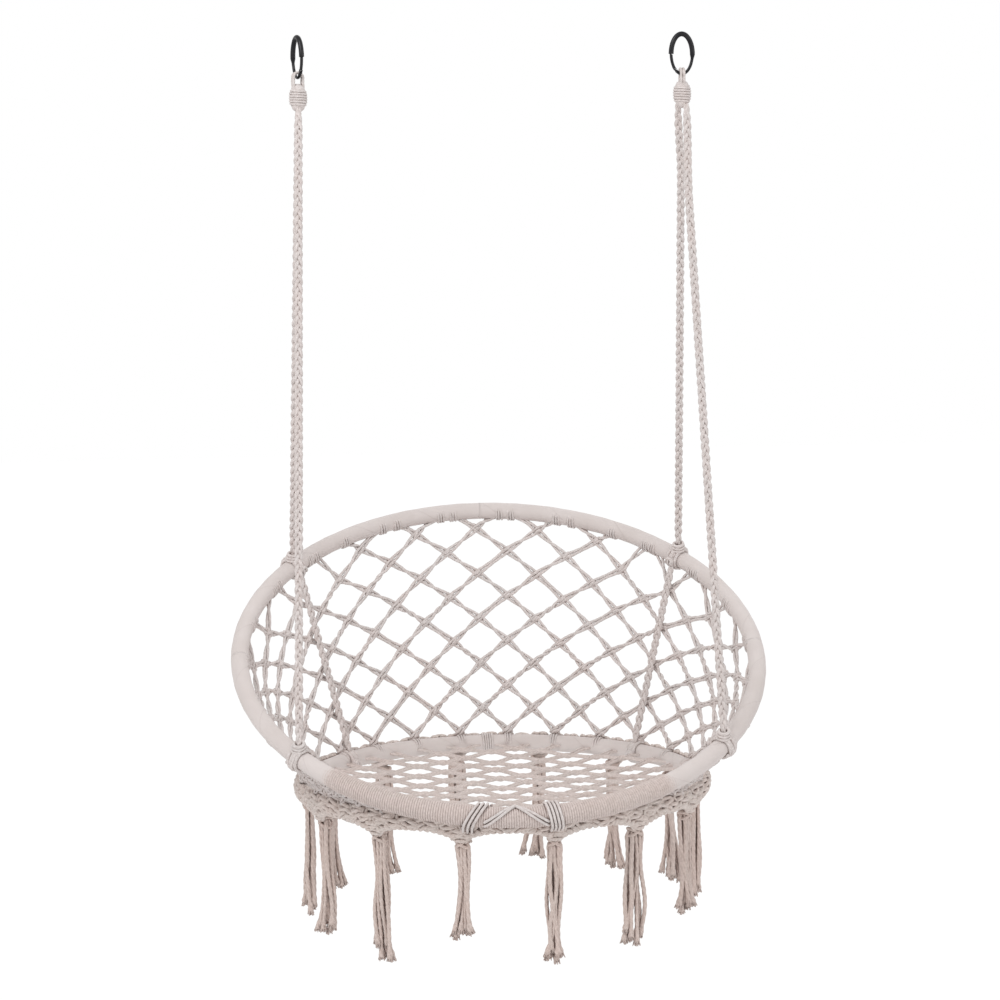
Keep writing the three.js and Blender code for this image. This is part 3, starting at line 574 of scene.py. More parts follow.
# Nets
NET_TURN = math.radians(-6.5)
NET_COLUMNS = 24
NET_ROWS = 10
NET_ROW_SHARE = 0.104
NET_FOOT_RISE = 0.007
NET_HEAD_ROOM = 0.013
NET_FRONT_ANGLE = math.radians(24)
SEAT_HALF_PITCH_X = 0.040
SEAT_HALF_PITCH_Y = 0.0285
SEAT_EDGE_ROOM = 0.010
SEAT_SAG = 0.012
NET_END_SHARE = 0.85
NET_ROOM_TRIES = 12
NET_STRAND_RADIUS = 0.0023
NET_TWIST_LENGTH = 0.06
NET_TWIST_RANGE = (-0.6, 0.8)
NET_TWIST_STRETCH = 1.3
NET_MOST_HALF_TURNS = 3
NET_EDGE_POWER = 1.3
NET_HOOP_SPREAD_SHARE = 1.2
NET_BOW = 0.0012
NET_STEPS = 22
NET_SIDES = 9
NET_KNOT_HALF_LENGTH = 0.0070
NET_KNOT_RISE = 0.0028
NET_KNOT_STRAND_RADIUS = 0.0022
NET_KNOT_BULGE_SHARE = 0.15
NET_KNOT_LEAN_RANGE = 0.12
NET_KNOT_WRAP_WIDTH = 0.0042
NET_KNOT_WRAP_DEPTH = 0.0044
NET_KNOT_WRAP_LEAN_RANGE = 0.3
NET_KNOT_WRAP_SHIFT = 0.0022
NET_KNOT_HEART_RADIUS = 0.0034
NET_KNOT_STEPS = 11
NET_KNOT_WRAP_STEPS = 18
NET_HEART_STEPS = 5
SEAT_JITTER = 0.0022
# A ring of cord overlaps itself a little
RING_TURN = 1.04 * FULL_TURN

# Spread and waist are half the width between a cord's two strands, at its knots and between them.
# Twisted says whether the strands cross, and the level share how far they leave a knot sideways.
# The knot lean is the slant of a knot's bands.
BACK_STYLE = SimpleNamespace(spread=0.0035, waist=0.0017, twisted=1, level_share=0.0,
                             knot_lean=0.68, knot_size_share=1.0)
SEAT_STYLE = SimpleNamespace(spread=0.0036, waist=0.0026, twisted=0, level_share=0.95,
                             knot_lean=0.2, knot_size_share=0.66)


def wrapped(angle):
    """The same angle within half a turn of zero."""
    return math.atan2(math.sin(angle), math.cos(angle))


def net_line(angle):
    """The straight line on which the back net lies, from the seat hoop up to the large one: its
    foot, its way and its rise from one cover to the other."""
    foot = seat_hoop.point(angle)
    way = large_hoop.point(angle) - foot
    rise = np.linalg.norm(way) - 2 * WRAP_RADIUS
    return foot, unit(way), rise


def net_place(angle, height):
    foot, way, _ = net_line(angle)
    return foot + way * (WRAP_RADIUS + height)


def net_normal(angle, height):
    """The back net's outward direction."""
    small = math.radians(1)
    along = net_place(angle + small, height) - net_place(angle - small, height)
    return unit(np.cross(along, net_line(angle)[1]))


def back_net_knots():
    half_columns = 2 * NET_COLUMNS
    knots = {}
    for row in range(NET_ROWS):
        for column in range(row % 2, half_columns, 2):
            angle = wrapped(math.pi + NET_TURN + FULL_TURN * column / half_columns)
            rise = net_line(angle)[2]
            height = NET_FOOT_RISE + NET_ROW_SHARE * row * rise
            if abs(angle) < NET_FRONT_ANGLE or height + NET_HEAD_ROOM > rise:
                continue
            place = net_place(angle, height)
            normal = net_normal(angle, height)
            knots[row, column] = {"angle": angle, "height": height, "place": place, "normal": normal}
    # A knot of the lowest row needs one above it
    for column in range(0, half_columns, 2):
        if not any((1, (column + side) % half_columns) in knots for side in (-1, 1)):
            knots.pop((0, column), None)
    return knots


def end_angle(knot, swing):
    """The angle at which a cord that climbs a row in one swing meets the large hoop."""
    angle = knot["angle"]
    row_rise = NET_ROW_SHARE * net_line(angle)[2]
    share = NET_END_SHARE
    for _ in range(NET_ROOM_TRIES):
        room = net_line(angle + swing * share)[2] + WRAP_RADIUS - knot["height"]
        share = min(NET_END_SHARE, (share + room / row_rise) / 2)
    return angle + swing * share


def cords_of_back_net(knots):
    """Pairs of knots with a cord between them, and cords from a knot to a hoop at an angle of it."""
    half_columns = 2 * NET_COLUMNS
    between = []
    ending = []
    for (row, column), knot in knots.items():
        for side in (-1, 1):
            above = (row + 1, (column + side) % half_columns)
            if above in knots:
                between.append((knot, knots[above]))
                continue
            ending.append((knot, large_hoop, end_angle(knot, side * FULL_TURN / half_columns)))
        if row == 0:
            ending.append((knot, seat_hoop, knot["angle"]))
    return between, ending


def seat_net_knots():
    knots = {}
    inner_radius = SEAT_HOOP_RADIUS - WRAP_RADIUS
    rows = math.ceil(SEAT_HOOP_RADIUS / SEAT_HALF_PITCH_Y)
    columns = math.ceil(SEAT_HOOP_RADIUS / SEAT_HALF_PITCH_X)
    for row in range(-rows, rows + 1):
        for column in range(-columns, columns + 1):
            x = column * SEAT_HALF_PITCH_X
            y = row * SEAT_HALF_PITCH_Y
            reach = math.hypot(x, y)
            if (row + column) % 2 or reach > inner_radius - SEAT_EDGE_ROOM:
                continue
            sag = SEAT_SAG * (1 - (reach / SEAT_HOOP_RADIUS) ** 2)
            jitter = SEAT_JITTER * random.uniform(-1, 1, 3)
            place = seat_hoop.centre + np.array([x, y, -sag]) + jitter
            knots[row, column] = {"x": x, "y": y, "place": place, "normal": -UP}
    return knots


def cords_of_seat_net(knots):
    between = []
    ending = []
    for (row, column), knot in knots.items():
        here = math.atan2(knot["x"], -knot["y"])
        for step_x, step_y in ((1, 1), (-1, 1), (-1, -1), (1, -1)):
            other = (row + step_y, column + step_x)
            if other in knots:
                if step_y > 0:
                    between.append((knot, knots[other]))
                continue
            x = (column + step_x) * SEAT_HALF_PITCH_X
            y = (row + step_y) * SEAT_HALF_PITCH_Y
            swing = wrapped(math.atan2(x, -y) - here)
            ending.append((knot, seat_hoop, here + swing * NET_END_SHARE))
    return between, ending


def add_pairs(batch, starts, ends, normals, style, end_share=1.0):
    """Two strands from each start to its end, flat side by side at both, and crossed in between
    where the style is twisted. The end share widens them where they end on a hoop."""
    count = len(starts)
    share = np.linspace(0, 1, NET_STEPS)[None, :, None]
    way = ends - starts
    side = unit(np.cross(normals, way))
    lengths = np.linalg.norm(way, axis=1)
    half_turns = np.round(lengths / NET_TWIST_LENGTH + random.uniform(*NET_TWIST_RANGE, count))
    half_turns = style.twisted * np.clip(half_turns, 0, NET_MOST_HALF_TURNS)
    half_turns *= np.where(random.random(count) < 0.5, -1, 1)
    phase = math.pi * half_turns[:, None, None] * smooth_share(0.5 + NET_TWIST_STRETCH * (share - 0.5))
    edge_share = np.abs(2 * share - 1) ** NET_EDGE_POWER
    end_width = style.spread * part_way(1, end_share, share)
    spread = part_way(style.waist, end_width, edge_share)
    offset = spread * around(phase, side[:, None], normals[:, None])
    bow = random.uniform(-1, 1, (count, 1, 1)) * NET_BOW * np.sin(math.pi * share) * side[:, None]
    middle = starts[:, None] + way[:, None] * share + bow
    settled_share = style.level_share * (smooth_share(share[..., 0]) - share[..., 0])
    middle[..., 1] += way[:, 1, None] * settled_share
    for strand in (middle + offset, middle - offset):
        batch.add(strand, NET_STRAND_RADIUS, NET_SIDES, lay=NET_LAY)


def add_net_knots(batch, places, normals, ups, style):
    """A flat knot of two pairs: one pair crosses in front, the other behind, held by one wrap."""
    size_share = style.knot_size_share
    sides = unit(np.cross(ups, normals))
    ups = np.cross(normals, sides)

    def chance(reach):
        return random.uniform(-reach, reach, (len(places), 1, 1))

    share = np.linspace(-1, 1, NET_KNOT_STEPS)[None, :, None]
    for face in (1, -1):
        across = around(face * style.knot_lean + chance(NET_KNOT_LEAN_RANGE), sides[:, None], ups[:, None])
        beside = np.cross(normals[:, None], across)
        rise = face * normals[:, None] * size_share * NET_KNOT_RISE * (1 - share ** 2)
        bulge = NET_STRAND_RADIUS * (1 + NET_KNOT_BULGE_SHARE * (1 - share ** 2))
        for shift in (-1, 1):
            band = across * share * NET_KNOT_HALF_LENGTH + rise + beside * shift * bulge
            batch.add(places[:, None] + band, NET_KNOT_STRAND_RADIUS, NET_SIDES, lay=NET_LAY)
    turn = np.linspace(0, RING_TURN, NET_KNOT_WRAP_STEPS)[None, :, None]
    across = around(-style.knot_lean + chance(NET_KNOT_WRAP_LEAN_RANGE), sides[:, None], ups[:, None])
    shift = chance(NET_KNOT_WRAP_SHIFT) * np.cross(normals[:, None], across)
    wrap = around(turn, NET_KNOT_WRAP_WIDTH * across, NET_KNOT_WRAP_DEPTH * normals[:, None])
    batch.add(places[:, None] + size_share * wrap + shift, size_share * NET_STRAND_RADIUS, NET_SIDES)
    heart_radius = size_share * NET_KNOT_HEART_RADIUS
    heart = np.linspace(-1, 1, NET_HEART_STEPS)[None, :, None] * heart_radius * ups[:, None]
    batch.add(places[:, None] + heart, heart_radius, NET_SIDES)


BINDING_LOOPS = 3
BINDING_CORD_RADIUS = 0.0018
BINDING_PITCH = 0.0041
BINDING_PLACE_RANGE = (-0.1, 0.1)
BINDING_LIFT_SHARE = 0.5
BINDING_SLANT_SHARE = 0.4
BINDING_STEPS = 15
BINDING_HALF_TURN = math.radians(100)
BINDING_REACH_SHARES = (0.85, 1.1)
SEAT_BACK_TURNS = 5
SEAT_BACK_PITCH = 0.0036
SEAT_BACK_LIFT = 0.0009


def add_bindings(batch, hoop, angles, turns):
    """Short turns of cord that grip a hoop round the side where a net cord comes in."""
    share = np.linspace(-1, 1, BINDING_STEPS)
    lift = BINDING_CORD_RADIUS * (BINDING_LIFT_SHARE - (1 + BINDING_LIFT_SHARE) * np.abs(share) ** 3)
    for angle, middle_turn in zip(angles, turns):
        for loop in range(BINDING_LOOPS):
            place_share = loop - (BINDING_LOOPS - 1) / 2 + random.uniform(*BINDING_PLACE_RANGE)
            slanted = angle + BINDING_PITCH * (place_share + share * BINDING_SLANT_SHARE) / hoop.radius
            half_turn = BINDING_HALF_TURN * random.uniform(*BINDING_REACH_SHARES)
            path = hoop.skin(slanted, middle_turn + share * half_turn, WRAP_RADIUS + lift)
            batch.add(path, BINDING_CORD_RADIUS, FINE_SIDES)


def add_seat_back_turns(batch):
    """The short winding at the middle of the seat hoop's back."""
    turn = np.linspace(-0.5, 0.5, SEAT_BACK_TURNS * WINDING_STEPS_PER_TURN + 1) * SEAT_BACK_TURNS
    angle = math.pi + SEAT_BACK_PITCH * turn / SEAT_HOOP_RADIUS
    path = seat_hoop.skin(angle, FULL_TURN * turn, WRAP_RADIUS + SEAT_BACK_LIFT)
    batch.add(path, BINDING_CORD_RADIUS, FINE_SIDES, tints=[SINGLE_TINT])


def places_and_normals(knots):
    return [np.array([knot[key] for knot in knots]) for key in ("place", "normal")]


def net_batch(knots, cords, ups, style):
    """The cords between knots, those that end on a hoop, and the knots."""
    between, ending = cords
    batch = Batch()
    starts, start_normals = places_and_normals([first for first, _ in between])
    ends, end_normals = places_and_normals([last for _, last in between])
    add_pairs(batch, starts, ends, unit(start_normals + end_normals), style)
    starts, normals = places_and_normals([knot for knot, _, _ in ending])
    middles = np.array([hoop.point(angle) for _, hoop, angle in ending])
    ends = middles + unit(starts - middles) * WRAP_RADIUS
    add_pairs(batch, starts, ends, normals, style, NET_HOOP_SPREAD_SHARE)
    add_net_knots(batch, *places_and_normals(knots.values()), ups, style)
    return batch


def back_net():
    knots = back_net_knots()
    cords = cords_of_back_net(knots)
    ups = np.array([net_line(knot["angle"])[1] for knot in knots.values()])
    batch = net_batch(knots, cords, ups, BACK_STYLE)
    for hoop in (large_hoop, seat_hoop):
        here = [(knot, angle) for knot, end_hoop, angle in cords[1] if end_hoop is hoop]
        turns = [hoop.turn_towards(angle, knot["place"]) for knot, angle in here]
        add_bindings(batch, hoop, [angle for _, angle in here], turns)
    add_seat_back_turns(batch)
    return batch


def seat_net(knots):
    ups = np.tile([0.0, 1.0, 0.0], (len(knots), 1))
    return net_batch(knots, cords_of_seat_net(knots), ups, SEAT_STYLE)


seat_knots = seat_net_knots()
add_piece("back_net_twine", back_net(), net_cord, "back_net")
add_piece("seat_net_twine", seat_net(seat_knots), seat_cord, "seat_net")

# Hanging ropes: a flat plait of three cords
ROPE_ANGLE = math.radians(51.6)
ROPE_RADIUS = 0.0065
HITCH_RADIUS = 0.021
HITCH_WIDTH = 0.026
SEAT_KNOT_RADIUS = 0.0185
SEAT_KNOT_WIDTH = 0.024
TAIL_GAP = 0.0012
NET_CORD_DEPTH = 0.0052
ROPE_FOOT_RISE = 0.0278
ROPE_TOP_DROP = 0.0491
ROPE_TOP_OFFSET = 0.00665
PLAIT_STRANDS = 3
PLAIT_PERIOD = 0.040
PLAIT_WIDTH = 0.0034
PLAIT_DEPTH = 0.0019
PLAIT_STRAND_RADIUS = 0.0028
PLAIT_STEP = 0.0022
PLAIT_END_SHARE = 0.55
PLAIT_THIN_SHARE = 0.8
ROPE_TAPER = 0.03
TAIL_TAPER = 0.02
ROPE_SPLAY = 0.005
ROPE_SPLAY_SHARE = 0.16
ROPE_TOP_OVERLAP = 0.004
ROPE_FOOT_OVERLAP = 0.007
TAIL_OVERLAP = 0.004


def taper_share(share):
    """Grows from a plait's narrow end to its full width."""
    return part_way(PLAIT_END_SHARE, 1, smooth_share(share))


def add_plait(batch, start, end, wide_way, taper, splay=0.0):
    """A plait drawn in at both ends. The splay moves only its last part sideways."""
    length = np.linalg.norm(end - start)
    phase = random.uniform(0, FULL_TURN)
    run = np.linspace(0, length, int(length / PLAIT_STEP))
    way = (end - start) / length
    wide = unit(wide_way - way * (wide_way @ way))
    deep = np.cross(way, wide)
    shift = splay * smooth_share(1 - (1 - run / length) / ROPE_SPLAY_SHARE)
    middle = start + run[:, None] * way + shift[:, None] * SIDEWAYS
    size_share = taper_share(run / taper) * taper_share((length - run) / taper)
    for strand in range(PLAIT_STRANDS):
        turn = FULL_TURN * (run / PLAIT_PERIOD + strand / PLAIT_STRANDS) + phase
        path = middle + (size_share * PLAIT_WIDTH * np.sin(turn))[:, None] * wide
        path = path + (size_share * PLAIT_DEPTH * np.sin(2 * turn))[:, None] * deep
        batch.add(path, PLAIT_STRAND_RADIUS * part_way(PLAIT_THIN_SHARE, 1, size_share), lay=ROPE_LAY)


def add_turns(batch, middle, axis, first, radius, radius_end, rise, turns, cord_radius, start_turn=0.0):
    """A helix of cord about an axis through a middle point."""
    share = np.linspace(0, 1, int(turns * COIL_STEPS_PER_TURN) + 1)
    angle = start_turn + FULL_TURN * turns * share
    reach = part_way(radius, radius_end, share)[:, None]
    path = middle + reach * around(angle[:, None], first, np.cross(axis, first))
    path = path + ((share - 0.5) * rise)[:, None] * axis
    batch.add(path, cord_radius, lay=ROPE_LAY)


COIL_STEPS_PER_TURN = 18
KNOT_CORD_RADIUS = 0.0027
KNOT_SEAT_SHARE = 0.9
KNOT_TURNS = 4.2
KNOT_START_TURN = 0.4
# Two turns that cross on the knot: how each leans, up the hoop's axis and outward
CROSSING_LEANS = (-0.45, 0.5)
CROSSING_UP_SHARE = 0.35
CROSSING_OUT_SHARE = 0.4
CROSSING_SINK = 0.0006
CROSSING_RISE = 0.004
CROSSING_TURNS = 1.25
LUMP_LEAN = 0.6
LUMP_LIFT = 0.0045
# Coils: first and last radius, rise, turns, the cord's radius and the angle at which they start
LUMP_COIL = (0.0068, 0.0056, 0.006, 1.6, KNOT_CORD_RADIUS, 0.3)
LUMP_HEART_COIL = (0.0045, 0.0045, 0.012, 2.0, 0.9 * KNOT_CORD_RADIUS, 1.1)
NECK_COIL = (0.0108, 0.0066, 0.0135, 3.2, 0.0025, 0.0)
NECK_RISE = 0.0195


def rope_knot(hoop, angle, radius, width, rope_way, inward):
    """Turns of rope round a hoop with a lumpy knot on them, where a rope is made fast."""
    batch = Batch()
    middle = hoop.point(angle)
    along = hoop.along(angle)
    outward = hoop.outward(angle)
    inner = WRAP_RADIUS + KNOT_SEAT_SHARE * KNOT_CORD_RADIUS
    add_turns(batch, middle, along, outward, inner, inner, width - 2 * KNOT_CORD_RADIUS,
              KNOT_TURNS, KNOT_CORD_RADIUS, KNOT_START_TURN)
    outer = radius - KNOT_CORD_RADIUS
    for lean in CROSSING_LEANS:
        axis = unit(along + lean * (CROSSING_UP_SHARE * hoop.axis + CROSSING_OUT_SHARE * outward))
        first = unit(np.cross(axis, hoop.axis))
        add_turns(batch, middle, axis, first, outer - CROSSING_SINK, outer, CROSSING_RISE,
                  CROSSING_TURNS, KNOT_CORD_RADIUS, 2 * lean)
    for place in (rope_way, unit(inward - LUMP_LEAN * rope_way)):
        centre = middle + place * (WRAP_RADIUS + LUMP_LIFT)
        spin = unit(np.cross(place, along))
        add_turns(batch, centre, place, spin, *LUMP_COIL)
        add_turns(batch, centre, along, spin, *LUMP_HEART_COIL)
    return batch


def eye_place(sign):
    return CHAIR + np.array([sign * EYE_SPAN / 2, HANG_SETBACK, EYE_RISE])


def add_rope(side, sign, end, offset, angle):
    """One rope of a side: the plait up to the eye, the tail down the net, the hitch between them
    and the knot on the seat hoop."""
    name = f"{side}_{end}"
    hitch = large_hoop.point(angle)
    top = eye_place(sign) + np.array([0.0, offset * ROPE_TOP_OFFSET, ROPE_TOP_OVERLAP - ROPE_TOP_DROP])
    foot = hitch + large_hoop.axis * (ROPE_FOOT_RISE - ROPE_FOOT_OVERLAP)
    batch = Batch()
    add_plait(batch, foot, top, SIDEWAYS, ROPE_TAPER, -ROPE_SPLAY * offset if side == "right" else 0.0)
    add_piece(f"{name}_rope_plait", batch, rope_cord, f"{name}_rope")

    seat_end, line_way, rise = net_line(angle)
    inward = -net_normal(angle, rise / 2)
    inset = inward * (ROPE_RADIUS + NET_CORD_DEPTH / 2 + TAIL_GAP)
    low = seat_end + line_way * (SEAT_KNOT_RADIUS - TAIL_OVERLAP) + inset
    high = hitch - line_way * (HITCH_RADIUS - TAIL_OVERLAP) + inset
    batch = Batch()
    add_plait(batch, low, high, np.cross(line_way, inward), TAIL_TAPER)
    add_piece(f"{name}_tail_plait", batch, rope_cord, f"{name}_rope_tail")

    batch = rope_knot(large_hoop, angle, HITCH_RADIUS, HITCH_WIDTH, unit(top - foot), inward)
    add_turns(batch, hitch + large_hoop.axis * NECK_RISE, large_hoop.axis, SIDEWAYS, *NECK_COIL)
    add_piece(f"{name}_hitch_turns", batch, rope_cord, f"{name}_hitch")
    batch = rope_knot(seat_hoop, angle, SEAT_KNOT_RADIUS, SEAT_KNOT_WIDTH, line_way, inward)
    add_piece(f"{name}_seat_knot_turns", batch, rope_cord, f"{name}_seat_knot")


SIDES = (("left", -1), ("right", 1))
for side, sign in SIDES:
    add_rope(side, sign, "front", -1, sign * ROPE_ANGLE)
    add_rope(side, sign, "back", 1, sign * (math.pi - ROPE_ANGLE))

# Snap links: a steel wire loop with a thick arch, a thin bow and a gate with a sprung hinge
LINK_HALF_WIDTH = 0.01575
LINK_HALF_HEIGHT = 0.029
LINK_ARCH_RADIUS = 0.00375
LINK_ROD_RADIUS = 0.00225
LINK_YAWS = {"left": math.radians(113), "right": 0.0}
NOSE_ANGLE = math.radians(-90)
HINGE_ANGLE = math.radians(-139)
ARCH_END_ANGLE = math.radians(90)
ROD_START_ANGLE = math.radians(106)
LINK_STEPS = 110
GATE_STEPS = 30
LAP_LENGTH = 0.0036
GATE_WIRE_START = 0.17
TONGUE_RUN = (-0.0042, 0.0021)
TONGUE_WIDTH = 0.0028
TONGUE_THICKNESS = 0.0016
CHEEK_RUN = (-0.0016, 0.0044)
CHEEK_WIDTH = 0.00405
GATE_SLOT_WIDTH = 0.0023
NOSE_GAP = 0.0007
LINK_SIDES = 24
PLATE_SIDES = 16
PLATE_STEPS = 8
PLATE_EDGE_POWER = 0.5
PLATE_FACE_POWER = 0.35


def link_point(angle):
    """A place on the link's middle line, an ellipse that stands on its lowest point."""
    angle = np.asarray(angle, float)
    x = LINK_HALF_WIDTH * np.sin(angle)
    z = LINK_HALF_HEIGHT * (1 + np.cos(angle))
    return np.stack([x, np.zeros_like(x), z], axis=-1)


def link_way(angle):
    return unit(np.array([LINK_HALF_WIDTH * math.cos(angle), 0.0, -LINK_HALF_HEIGHT * math.sin(angle)]))


def rounded(value, power):
    return np.sign(value) * np.abs(value) ** power


def add_plate(batch, run, width, thickness, offset):
    """A flat plate with rounded edges at the hinge, along the link's line at an offset across it."""
    way = link_way(HINGE_ANGLE)
    across = np.array([0.0, 1.0, 0.0])
    places = link_point(HINGE_ANGLE) + np.linspace(*run, PLATE_STEPS)[:, None] * way
    turns = FULL_TURN * np.arange(PLATE_SIDES) / PLATE_SIDES
    side = rounded(np.cos(turns), PLATE_EDGE_POWER)[:, None] * width / 2 * np.cross(across, way)
    level = rounded(np.sin(turns), PLATE_FACE_POWER)[:, None] * thickness / 2 * across
    points = places[:, None] + (side + level)[None] + across * offset
    lengths = np.linalg.norm(places - places[0], axis=1)
    batch.add_rings(points[None], lengths[None], SINGLE_TINT)


def in_link_frame(batch, side, sign):
    """Turns and moves a batch made in a link's own frame to that link's place."""
    yaw = LINK_YAWS[side]
    turn = np.array([[math.cos(yaw), -math.sin(yaw), 0], [math.sin(yaw), math.cos(yaw), 0], [0, 0, 1]])
    batch.points = [points @ turn.T + eye_place(sign) for points in batch.points]
    return batch


def link_body():
    batch = Batch()
    angles = np.linspace(NOSE_ANGLE, FULL_TURN + HINGE_ANGLE - LAP_LENGTH / LINK_HALF_HEIGHT, LINK_STEPS)
    thin_share = smooth_share((angles - ARCH_END_ANGLE) / (ROD_START_ANGLE - ARCH_END_ANGLE))
    radius = part_way(LINK_ARCH_RADIUS, LINK_ROD_RADIUS, thin_share)
    batch.add(link_point(angles), radius, LINK_SIDES, round_ends=False)
    add_plate(batch, TONGUE_RUN, TONGUE_WIDTH, TONGUE_THICKNESS, 0.0)
    return batch


def link_gate():
    """The gate's wire from its hinge to just short of the nose, with two cheeks beside the tongue."""
    batch = Batch()
    nose_way = unit(link_point(NOSE_ANGLE) - link_point(HINGE_ANGLE))
    path = link_point(np.linspace(HINGE_ANGLE + GATE_WIRE_START, NOSE_ANGLE, GATE_STEPS))
    path[-1] = link_point(NOSE_ANGLE) - nose_way * NOSE_GAP
    batch.add(path, LINK_ROD_RADIUS, LINK_SIDES, round_ends=False)
    cheek = LINK_ROD_RADIUS - GATE_SLOT_WIDTH / 2
    for side in (-1, 1):
        add_plate(batch, CHEEK_RUN, CHEEK_WIDTH, cheek, side * (GATE_SLOT_WIDTH + cheek) / 2)
    return batch


# Rope eyes and their whipping
EYE_CORD_RADIUS = 0.00425
EYE_SLACK = 0.00085
EYE_LEG = 0.016
COLLAR_RADIUS = 0.0135
COLLAR_HEIGHT = 0.026
EYE_STRAND_RADIUS = 0.0021
EYE_ARCH_STEPS = 30
EYE_LEG_STEPS = 8
WHIPPING_TURNS = 7
WHIPPING_TAPER = 0.002
WHIPPING_CORD_SHARE = 1.03
COLLAR_CORE_SINK = 0.003
COLLAR_CORE_HEIGHT = 0.022
COLLAR_CORE_STEPS = 6
COLLAR_CORE_SIDES = 20
WHIPPING_STEPS_PER_TURN = 22


def rope_eye():
    """Two cords side by side over the link's bow and down to the whipping."""
    batch = Batch()
    reach = LINK_ROD_RADIUS + EYE_SLACK + EYE_CORD_RADIUS
    turn = np.linspace(0, math.pi, EYE_ARCH_STEPS)
    leg = np.linspace(-EYE_LEG, 0, EYE_LEG_STEPS)[:-1]
    level = np.concatenate([np.full_like(leg, -reach), -reach * np.cos(turn), np.full_like(leg, reach)])
    height = np.concatenate([leg, reach * np.sin(turn), leg[::-1]])
    for shift in (-EYE_STRAND_RADIUS, EYE_STRAND_RADIUS):
        strand = np.stack([np.full_like(level, shift), level, height], axis=1)
        batch.add(strand, EYE_STRAND_RADIUS, lay=ROPE_LAY)
    return batch


def eye_collar():
    """A core with the whipping wound on it, drawn in at both ends."""
    batch = Batch()
    middle = np.array([0.0, 0.0, -EYE_LEG - FIT_GAP - COLLAR_HEIGHT / 2])
    core = middle + np.linspace(-0.5, 0.5, COLLAR_CORE_STEPS)[:, None] * COLLAR_CORE_HEIGHT * UP
    batch.add(core, COLLAR_RADIUS - COLLAR_CORE_SINK, COLLAR_CORE_SIDES)
    cord = COLLAR_HEIGHT / WHIPPING_TURNS / 2
    share = np.linspace(0, 1, WHIPPING_TURNS * WHIPPING_STEPS_PER_TURN)
    angle = FULL_TURN * (WHIPPING_TURNS - 1) * share
    reach = COLLAR_RADIUS - cord - WHIPPING_TAPER * np.abs(2 * share - 1) ** 3
    height = (0.5 - share) * (COLLAR_HEIGHT - 2 * cord)
    path = middle + np.stack([reach * np.cos(angle), reach * np.sin(angle), height], axis=1)
    batch.add(path, WHIPPING_CORD_SHARE * cord, lay=ROPE_LAY)
    return batch


LINK_PIECES = (
    ("link_wire", link_body, black_metal, "black_steel", "snap_link"),
    ("link_gate", link_gate, black_metal, "black_steel", "gate"),
    ("eye_cords", rope_eye, rope_cord, "rope_cord", "rope_eye"),
    ("eye_whipping", eye_collar, rope_cord, "rope_cord", "eye_collar"),
)
for side, sign in SIDES:
    for name, form, material, slot, node in LINK_PIECES:
        batch = in_link_frame(form(), side, sign)
        add_piece(f"{side}_{name}", batch, material, f"{side}_{node}")

# Tassels
TASSEL_COUNT = 14
TASSEL_TURN = math.radians(-3.2)
FRINGE_TIP_DEPTH = 0.013
FRINGE_VALLEY_DEPTH = -0.0075
TASSEL_LENGTH = 0.172
TASSEL_LENGTH_SHARES = [1.07, 0.99, 0.93, 0.96, 0.98, 1.01, 0.99, 0.82, 1.01, 1.07, 1, 1.02, 1.09, 0.87]
TASSEL_WIDTH_SHARES = [0.8, 1.1, 1.0, 0.95, 1.0, 0.95, 0.95, 1.0, 1.0, 1.1, 1.1, 1.15, 1.05, 0.85]
TASSEL_STRANDS = 8
TASSEL_CLUMP = 3
TASSEL_HALF_WIDTH = 0.0125
TASSEL_HALF_DEPTH = 0.0036
TASSEL_STRAND_RADIUS = 0.0030
TASSEL_STEP = 0.0022
# Waves of a strand as height, half waves and power of growth: its own, that of its clump, and the
# one towards and away from the hoop
TASSEL_WAVES = ((0.0042, 2.6, 0.5), (0.0090, 1.3, 0.8), (0.0060, 1.6, 1.0))
TASSEL_LENGTH_RANGE = (0.88, 1.0)
TASSEL_RADIUS_RANGE = (0.92, 1.08)
TASSEL_LEAN = 0.011
TASSEL_FLARE_SHARE = 0.5
TASSEL_FLARE_LENGTH = 0.014
TASSEL_OPEN_SHARE = 0.07
TASSEL_HEAD_WIDTH_SHARE = 0.6
TASSEL_PINCH_SHARE = 0.22
TASSEL_SPLAY_SHARE = 0.30
TASSEL_HEAD_LEANS = (math.radians(33), math.radians(-29))
TASSEL_HEAD_PITCH = 0.0022
TASSEL_HEAD_RADIUS = 0.0024
TASSEL_HEAD_STEPS = 30
TASSEL_HEAD_DROP_SHARE = 0.8
TASSEL_HEAD_GRIP_SHARES = (0.4, 0.7)
BRUSH_HAIRS = 26
BRUSH_LENGTH = 0.011
BRUSH_SPREAD = 0.0030
BRUSH_ROOT_SPREAD = 0.0036
BRUSH_HAIR_RADII = (0.0012, 0.0007)
BRUSH_STEPS = 5
BRUSH_SIDES = 4
BRUSH_FAN_POWER = 1.5
BRUSH_LENGTH_RANGE = (0.7, 1.0)


def tassel_angle(index):
    return TASSEL_TURN + FULL_TURN * (index + 0.5) / TASSEL_COUNT


def tassel_frame(index):
    angle = tassel_angle(index)
    low = FRINGE_TIP_DEPTH + WRAP_RADIUS + 2 * FIT_GAP
    top = seat_hoop.point(angle) - UP * low
    return top, seat_hoop.along(angle), seat_hoop.outward(angle)


